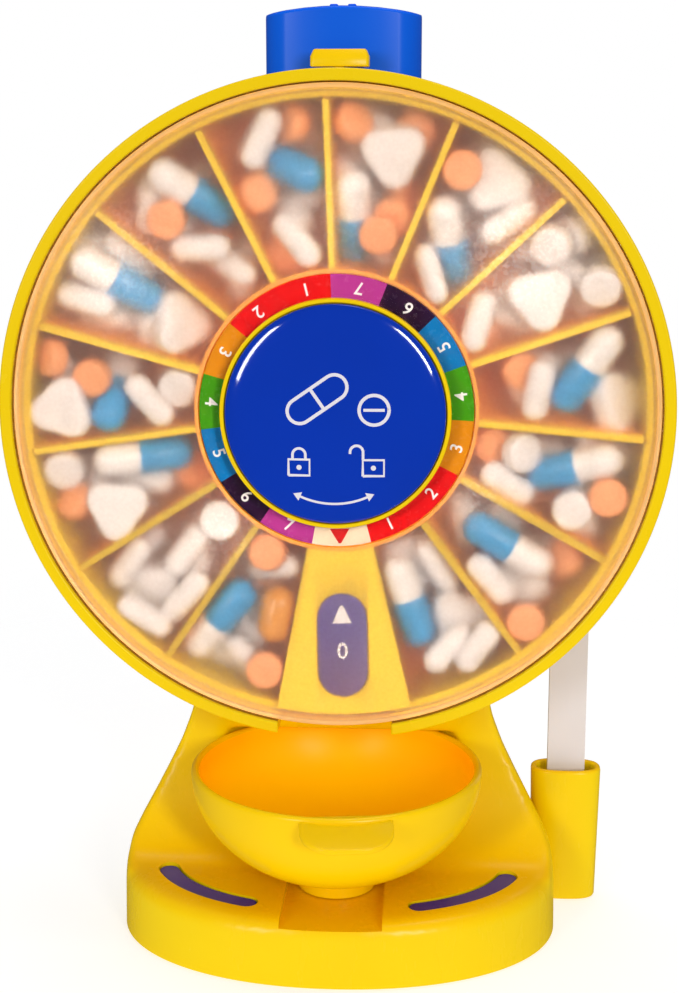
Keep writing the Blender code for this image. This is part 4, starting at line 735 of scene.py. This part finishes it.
def flow_of_stand():
    """The base with its round edge and the ramp that rises into the column, as one smooth skin."""
    foot = [base_ring(-0.3, -5), base_ring(0, BASE_TOP - BASE_ROUND)]
    foot += [base_ring(BASE_ROUND * (1 - cos(a)), BASE_TOP - BASE_ROUND * (1 - sin(a))) for a in quarter(6)[1:]]
    column = lofted([oval(half, rear - middle, power, (0, middle), height)
                     for height, middle, half, rear, power in COLUMN])
    slope = [(10 + 16.3 * sin(a), 44 - 29 * cos(a)) for a in quarter(30)]
    outline = [(-40, 8), (9.9, 8)] + slope + [(26.3, 112), (-40, 112)]
    ramp = lofted([[at(across, depth, height) for depth, height in outline] for across in (-60, 60)])
    low, high = BOWL_RIM - BOWL_WALL / 2, BOWL_RIM + CRADLE_RISE
    dish = [(CRADLE_RADIUS * sin(a), low - (low - BASE_TOP) * cos(a)) for a in quarter(24)]
    cradle = turned(dish + [(CRADLE_RADIUS, high), (0, high)], (0, BOWL_DEPTH, 0), True, 96)
    return flowing(combined(lofted(foot), combined(combined(column, ramp), cradle), "UNION"), 0.85, 10)


def stand():
    """The stand, hollow below, with its inlays, plate and feet."""
    body = flow_of_stand()
    tools = [block((-60, -30, -10), (60, 70, BASE_FLOOR)),
             lofted([base_ring(BASE_WALL, height) for height in (-3, HOLLOW_TOP)]),
             block((-CHANNEL_HALF, -BASE_REACH, CHANNEL_FLOOR), (CHANNEL_HALF, CHANNEL_BACK, 40)),
             turned([(0, -5), (HOUSING_ROOM, -5), (HOUSING_ROOM, 60), (0, 60)]),
             lofted([oval(8.4, 5.1, CUP_POWER, (CUP_ACROSS, CUP_DEPTH), height, 72) for height in (-3, 36)])]
    tools += [inlay(side, 0.3, PAD_LOW - 0.3, 20) for side in (-1, 1)]
    for node in ("column_screw_1", "column_screw_2"):
        low, high, _ = span(node)
        start, spot = high[1] - 1.6, ((low[0] + high[0]) / 2, 0, (low[2] + high[2]) / 2)
        tools.append(turned([(0, start), (2.9, start), (2.9, 60), (0, 60)], spot, steps=48))
    for tool in tools:
        body = combined(body, tool)
    finished("foot_body", body, "frame", BODY_YELLOW, ["stand"], even=True)
    for side, name in ((-1, "left"), (1, "right")):
        pad = inlay(side, 0, PAD_LOW, PAD_HIGH)
        finished("inlay_" + name, pad, "frame", PADS, ["pad_" + name], 0.2)
    finished("under_plate", merged("base_plate"), "frame", BODY_YELLOW, ["base_plate"])
    for index in range(1, 5):
        _, (_, _, top), (across, depth, _) = span("foot_%d" % index)
        pad = turned([(0, 0), (4.0, 0), (4.0, top), (0, top)], (across, depth, 0), True, 48)
        finished("rubber_foot_%d" % index, pad, "frame", RUBBER, ["foot_%d" % index], 0.25)


def screws():
    """Pan screws with a cross in the head, driven from behind and from below."""
    for node in sorted(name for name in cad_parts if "screw" in name):
        low, high, (across, depth, up) = span(node)
        upright = node.startswith("base")
        if upright:
            spot, head, tip, inward, thick = (across, depth, 0), low[2], high[2], 1, 1.1
        else:
            spot, head, tip, inward, thick = (across, 0, up), high[1], low[1], -1, 1.4
        under = head + inward * thick
        profile = [(0, tip), (SHANK, tip), (SHANK, under), (HEAD, under), (HEAD, head), (0, head)]
        made = turned(profile, spot, upright, 40)
        ends = sorted((head - inward, head + inward * CROSS_DEEP))
        for wide, narrow in ((CROSS_LONG, CROSS_NARROW), (CROSS_NARROW, CROSS_LONG)):
            corners = []
            for side, end in zip((-1, 1), ends):
                aside = across + side * wide
                corners.append((aside, depth + side * narrow, end) if upright else (aside, end, up + side * narrow))
            made = combined(made, block(*corners))
        finished("fitted_" + node, made, "frame", STEEL, [node], 0.25)


def bowl():
    """The bowl: a turned dish on a small foot, and its sloping finger tab."""
    lip = BOWL_WALL / 2
    low = BOWL_RIM - lip
    meet = asin(BOWL_FOOT / BOWL_RADIUS)
    outside = [(BOWL_RADIUS * sin(a), low - (low - BOWL_UNDER) * cos(a))
               for a in [meet + (pi / 2 - meet) * step / 28 for step in range(29)]]
    rim = [(BOWL_RADIUS - lip + lip * cos(a), low + lip * sin(a)) for a in [pi * step / 8 for step in range(1, 8)]]
    inner, fall = BOWL_RADIUS - BOWL_WALL, low - BOWL_UNDER - BOWL_WALL
    inside = [(inner * sin(a), low - fall * cos(a)) for a in quarter(28)[::-1]]
    profile = [(0, BOWL_BOTTOM), (BOWL_FOOT, BOWL_BOTTOM)] + outside + rim + inside
    profile[-1] = (0, low - fall)
    dish = turned(profile, (0, BOWL_DEPTH, 0), True, 128)
    made = finished("dish", dish, "bowl", [DISH_YELLOW, BOWL_PAINTED_GLOW], ["bowl"], sharp=50)
    middle = at(0, BOWL_DEPTH, 0)
    for face in made.data.polygons:
        outward = Vector((face.center.x - middle.x, face.center.y - middle.y, 0))
        hollow = outward.dot(face.normal) < 0 or face.normal.z > 0.9
        # The hollow faces take the finish with the painted light and glow.
        face.material_index = 1 if hollow and face.center.z < (low - 0.6) * MM else 0
    half, reach, corner, root, wall, aside, slope = 9.6, 7.9, 6.6, 3.4, 1.4, radians(7), radians(15)
    outline = [(-half, root)] + arc(corner, 180, 270, 12, (corner - half, corner - reach))
    outline += arc(corner, 270, 360, 12, (half - corner, corner - reach)) + [(half, root)]
    tab = plate(outline, wall)
    edges = [edge for edge in tab.edges if edge.calc_face_angle(0) > radians(60)]
    bmesh.ops.bevel(tab, geom=edges, offset=0.45, segments=3, affect="EDGES", profile=0.5, material=-1)
    turn = Matrix.Rotation(aside, 4, "Z") @ Matrix.Rotation(slope - pi / 2, 4, "X")
    edge = BOWL_RADIUS - 0.12
    spot = at(edge * sin(aside), BOWL_DEPTH - edge * cos(aside), BOWL_RIM - 1.2 - wall / 2)
    bmesh.ops.transform(tab, matrix=Matrix.Translation(spot) @ turn @ Matrix.Scale(MM, 4), verts=tab.verts)
    bmesh.ops.recalc_face_normals(tab, faces=tab.faces)
    finished("dish_tab", tab, "bowl", DISH_YELLOW, sharp=60)


def holder():
    """The pocket for the scoop: an oval cup with a rolled rim, beside the base."""
    bm = lofted([oval(width, depth, CUP_POWER, (CUP_ACROSS, CUP_DEPTH), height, 72) for width, depth, height in CUP])
    finished("scoop_cup", bm, "frame", BODY_YELLOW, ["scoop_holder"], sharp=70)
    finished("stick", merged("scoop"), "scoop", STICK, ["scoop"], sharp=40)


def works():
    """The parts inside keep their solids and get their finishes; the spring is a finished copy with a mesh of its
    own.
    """
    for node in ("axle_pin", "lock_cam", "ratchet_wheel", "drive_pawl", "stop_pawl", "drive_arm"):
        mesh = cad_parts[node].data
        mesh.materials.clear()
        mesh.materials.append(WORKS)
    spring = finished("coil_spring", merged("return_spring"), "frame", STEEL, ["return_spring"])
    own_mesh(spring)


# Pills that lie against the cover: the two ends of each capsule, then the others' centres and turns
CAPSULES = (
    ((-38.2, 50.3), (-21.8, 39.7)), ((-20.2, 54.5), (-3.2, 47.7)), ((-55.0, 32.5), (-37.5, 22.0)),
    ((3.3, 49.7), (3.5, 31.3)), ((18.6, 44.5), (27.9, 26.0)), ((57.6, 18.1), (46.5, 0.5)),
    ((59.9, -8.7), (40.8, -14.6)), ((46.0, -34.5), (27.2, -23.3)), ((9.9, -32.0), (19.5, -52.3)),
    ((-51.8, -10.1), (-31.6, -10.3)), ((-32.4, -54.2), (-19.0, -38.0)), ((-46.0, 12.0), (-49.0, -4.0)),
    ((-54.0, -18.0), (-42.0, -36.0)), ((40.0, 44.0), (47.0, 29.0)),
)
FRONT_PILLS = {
    "triangle": ((-46.1, -22.2, 20), (-58.0, 0.3, 75), (42.1, 24.0, 40), (57.0, 11.5, 85), (44.5, -37.9, 10)),
    "caplet": ((-55.5, -25.0, 35), (-39.8, 1.9, -50), (29.5, 18.8, 75), (42.2, 4.8, 80), (33.0, -36.0, -50),
               (35.1, -16.6, -35), (31.0, -50.0, 50), (25.0, -52.0, 45), (-8.3, 35.6, -50), (-32.6, -40.7, 50)),
    "tablet": ((-38.4, -47.0, 0), (-15.5, -56.4, 0), (57.0, -17.4, 0), (40.9, -45.0, 0), (25.6, 49.9, 0)),
    "softgel": ((-13.1, -44.8, 80),),
}
KINDS = {  # half-length, half-width and half-thickness
    "capsule": (10.6, 3.75, 3.75), "tablet": (4.1, 4.1, 1.9), "caplet": (6.6, 2.9, 2.3),
    "triangle": (6.2, 6.2, 2.6), "softgel": (6.3, 3.9, 3.9), "button": (4.3, 4.3, 2.1),
}
SCATTER = (("capsule", "triangle", "caplet"), ("caplet", "triangle", "tablet", "button"),
           ("tablet", "caplet", "button"), ("tablet", "caplet", "button"), ("tablet", "button"))
SETTLE_TRIES, SCATTER_TRIES, SAME_KINDS = 700, 1500, 300
COVER_GAP, WALL_TOUCH, PILL_TOUCH, CAP_WALL = 0.7, 0.15, 0.25, 0.12


def pocket_room(spot, radius):
    """How far inside its pocket a ball lies: the least of its distances from the walls."""
    across, depth, up = spot
    away = hypot(across, up)
    angle = (atan2(up, across) - START_ANGLE + PITCH / 2) % (2 * pi)
    index = int(angle / PITCH)
    off = angle - (index + 0.5) * PITCH
    wall = away * sin(PITCH / 2 - abs(off)) - DIVIDER / 2
    front = depth - cover_front(min(away, 62)) - COVER_WALL - COVER_GAP
    room = min(wall, away - WINDOW_RADIUS - 0.1, POCKET_RIM - away, front, POCKET_FLOOR - depth) - radius
    return room if index else -9, index


def balls(kind, spot, turn):
    """A pill as a few balls, which is how its room among the others is tested."""
    length, width, thick = KINDS[kind]
    places = [(0, 0)]
    if kind in ("capsule", "caplet", "softgel"):
        reach = length - width
        places = [(reach * share, 0) for share in (-1, -0.5, 0, 0.5, 1)]
        thick = width * (1 if kind != "caplet" else 0.85)
    else:
        reach = length - thick
        places += [(reach * cos(a), reach * sin(a)) for a in [pi / 3 * step for step in range(6)]]
    return [(spot + turn @ Vector((a, 0, b)), thick) for a, b in places]


def fits(new, others):
    """Whether a pill's balls lie in the pocket and clear of the others, but for a slight touch."""
    for place, radius in new:
        if pocket_room(place, radius)[0] < -WALL_TOUCH:
            return False
        if any((place - there).length < radius + wide - PILL_TOUCH for there, wide in others):
            return False
    return True


def settled(kind, across, up, flat, tip, others, chance):
    """A front pill, turned and shifted by growing amounts until it lies in its pocket, clear of the others."""
    for step in range(SETTLE_TRIES):
        slack = step / SETTLE_TRIES
        lean = chance.choice((-1, 1)) * tip + chance.uniform(-0.6, 0.6) * slack
        turn = Matrix.Rotation(-flat + chance.uniform(-0.5, 0.5) * slack, 3, "Y") @ Matrix.Rotation(lean, 3, "Z")
        spot = Vector((across + chance.uniform(-3, 3) * slack, 0, up + chance.uniform(-3, 3) * slack))
        new = balls(kind, spot, turn)
        spot.y = max(cover_front(min(hypot(place.x, place.z), 65)) + COVER_WALL + 0.75 + radius - place.y
                     for place, radius in new) + chance.uniform(0, 5) * slack ** 2
        new = balls(kind, spot, turn)
        if fits(new, others):
            return kind, spot, turn, new


def filled():
    """Every pocket filled: the front pills where they are seen, and others scattered behind them."""
    chance = Random(7)
    pockets = [[] for _ in range(SECTORS)]
    placed, front = [], []
    for white, blue in CAPSULES:
        middle, along = (Vector(white) + Vector(blue)) / 2, Vector(blue) - Vector(white)
        tip = acos(min(along.length / (2 * KINDS["capsule"][0]), 1))
        front.append(("capsule", middle.x, middle.y, atan2(along.y, along.x), tip))
    for kind, places in FRONT_PILLS.items():
        front += [(kind, across, up, radians(flat), 0.1) for across, up, flat in places]
    for kind, across, up, flat, tip in front:
        near = pockets[pocket_room(Vector((across, 12, up)), 0)[1]]
        found = settled(kind, across, up, flat, tip, near, chance)
        if found:
            placed.append(found[:3])
            near.extend(found[3])
    for index in range(1, SECTORS):
        near = pockets[index]
        for step in range(SCATTER_TRIES):
            kind = chance.choice(SCATTER[step // SAME_KINDS])
            angle = START_ANGLE + PITCH * (index + chance.uniform(-0.45, 0.45))
            away = sqrt(chance.uniform(32.0 ** 2, 62.0 ** 2))
            spot = Vector((away * cos(angle), chance.uniform(6, 20.5), away * sin(angle)))
            turn = Euler((chance.uniform(-0.7, 0.7), chance.uniform(-pi, pi), chance.uniform(-0.7, 0.7))).to_matrix()
            new = balls(kind, spot, turn)
            if fits(new, near):
                near.extend(new)
                placed.append((kind, spot, turn))
    return placed


def pill_shape(kind, part=""):
    """One pill's mesh, lengthwise along X and flat against Y, in millimetres."""
    length, width, thick = KINDS[kind]
    bm = bmesh.new()
    if kind in ("tablet", "triangle", "button"):
        bmesh.ops.create_cone(bm, cap_ends=True, segments=30, radius1=length, radius2=length, depth=2 * thick)
        bmesh.ops.rotate(bm, cent=(0, 0, 0), matrix=Matrix.Rotation(pi / 2, 3, "X"), verts=bm.verts)
        rims = [edge for edge in bm.edges if abs(edge.verts[0].co.y - edge.verts[1].co.y) < thick]
        bmesh.ops.bevel(bm, geom=rims, offset=0.6 * thick, segments=3, affect="EDGES", profile=0.6, material=-1)
        if kind == "triangle":
            for vert in bm.verts:
                swell = 1 + 0.15 * cos(3 * atan2(vert.co.z, vert.co.x))
                vert.co.x, vert.co.z = vert.co.x * swell, vert.co.z * swell
    else:
        bmesh.ops.create_uvsphere(bm, u_segments=16, v_segments=12, radius=1)
        bmesh.ops.rotate(bm, cent=(0, 0, 0), matrix=Matrix.Rotation(pi / 2, 3, "Y"), verts=bm.verts)
        wall = CAP_WALL if part else 0
        ends = (-0.6 if part else width - length, length - width + wall)
        bmesh.ops.scale(bm, vec=(width + wall, thick + wall, width + wall), verts=bm.verts)
        for vert in bm.verts:
            if part and vert.co.x < 0.01:
                vert.co.x = max(vert.co.x, -0.3) + ends[0]
            else:
                vert.co.x += ends[vert.co.x > 0]
    return bm


def pills():
    """The doses in the pockets, gathered by kind, riding on the wheel."""
    groups = {}
    for kind, spot, turn in filled():
        place = ON_AXLE @ Matrix.Translation(spot) @ turn.to_4x4()
        groups.setdefault(kind, []).append((pill_shape(kind), place))
        if kind == "capsule":
            groups.setdefault("cap", []).append((pill_shape(kind, "cap"), place))
    finishes = {"capsule": SHELL_WHITE, "cap": SHELL_BLUE, "tablet": TABLET_ORANGE, "softgel": AMBER}
    for kind, shapes in groups.items():
        finished("pills_" + kind, gathered(shapes), "wheel", finishes.get(kind, TABLET_WHITE), sharp=60)


# The floor's fade in metres and its glow, and the surround's strength as a light and as it is mirrored
WHITE, FADE, PAPER_GLOW, AS_LIGHT, AS_MIRRORED = (1, 1, 1, 1), (0.14, 0.36), 0.62, 0.36, 0.07
LAMPS = (
    ("left_box", (-0.74, -1.35, 0.40), (0, 0, 0.12), (0.16, 0.56), 5.7, -22),
    ("right_box", (0.62, -1.35, 0.48), (0, 0, 0.12), (0.16, 0.52), 7.8, 30),
    ("top_box", (0.1, 0.1, 1.6), (0, 0, 0.1), (1.2, 0.8), 9, 0),
)
CAMERA_SPOT, CAMERA_DOWN, CAMERA_LEFT, FOCAL_LENGTH = (21.636, -345.467, 176.180), 11.887, 3.400, 61.63


def lamp(name, spot, target, size, power, roll):
    """A soft box: its place, what it faces, its sides in metres, its watts and its turn in degrees."""
    light = bpy.data.lights.new(name, "AREA")
    light.shape, light.size, light.size_y, light.energy = "RECTANGLE", *size, power
    made = shown(name, light)
    made.location = spot
    facing = (Vector(target) - Vector(spot)).to_track_quat("-Z", "Y")
    made.rotation_euler = (facing @ Euler((0, 0, radians(roll))).to_quaternion()).to_euler()


def paper():
    """The floor's white paper, which fades out into the backdrop well away from the dispenser."""
    made = Finish("floor_paper", (250, 250, 250), 0.8, 0.1, Emission_Color=WHITE, Emission_Strength=PAPER_GLOW)
    made.tint((196, 196, 198), (190, 190, 192), made.noise(60, 3))
    along, across, _ = made.parts(made.place())
    away = (along * along + across * across) ** 0.5
    made.feed("Alpha", 1 - made.spread(away, *FADE))
    return made.material


def surround():
    """White behind everything, softer as a light, and dim where it is mirrored."""
    world = bpy.data.worlds.new("surround")
    bpy.context.scene.world = world
    world.use_nodes = True
    tree = world.node_tree
    path, light = tree.nodes.new("ShaderNodeLightPath"), tree.nodes["Background"]
    light.inputs["Color"].default_value, light.inputs["Strength"].default_value = WHITE, AS_LIGHT
    for ray, strength in (("Is Glossy Ray", AS_MIRRORED), ("Is Camera Ray", 1.0)):
        other, both = tree.nodes.new("ShaderNodeBackground"), tree.nodes.new("ShaderNodeMixShader")
        other.inputs["Color"].default_value, other.inputs["Strength"].default_value = WHITE, strength
        for index, start in enumerate((path.outputs[ray], light.outputs[0], other.outputs[0])):
            tree.links.new(start, both.inputs[index])
        light = both
    tree.links.new(light.outputs[0], tree.nodes["World Output"].inputs["Surface"])


def studio():
    """A pale floor, two soft boxes at the front, a soft top light and a white surround."""
    floor = bmesh.new()
    bmesh.ops.create_circle(floor, cap_ends=True, segments=96, radius=0.45)
    mesh = cast(floor, "floor")
    mesh.materials.append(paper())
    made = shown("floor", mesh)
    made.visible_glossy = False
    for box in LAMPS:
        lamp(*box)
    surround()
    bpy.context.scene.view_settings.view_transform = "Standard"


def camera():
    """The photograph's view: a little from the right and above."""
    lens = bpy.data.cameras.new("camera")
    lens.sensor_fit, lens.sensor_height, lens.sensor_width, lens.lens = "VERTICAL", 36, 36, FOCAL_LENGTH
    lens.clip_start, lens.clip_end = 0.02, 30
    made = shown("camera", lens)
    made.location = at(*CAMERA_SPOT)
    made.rotation_euler = (radians(90 - CAMERA_DOWN), 0, radians(CAMERA_LEFT))
    bpy.context.scene.camera = made


drum()
cover()
wheel()
ring_marks()
label_marks()
knob()
knob_marks()
lever_and_housing()
stand()
screws()
bowl()
holder()
works()
pills()
studio()
camera()
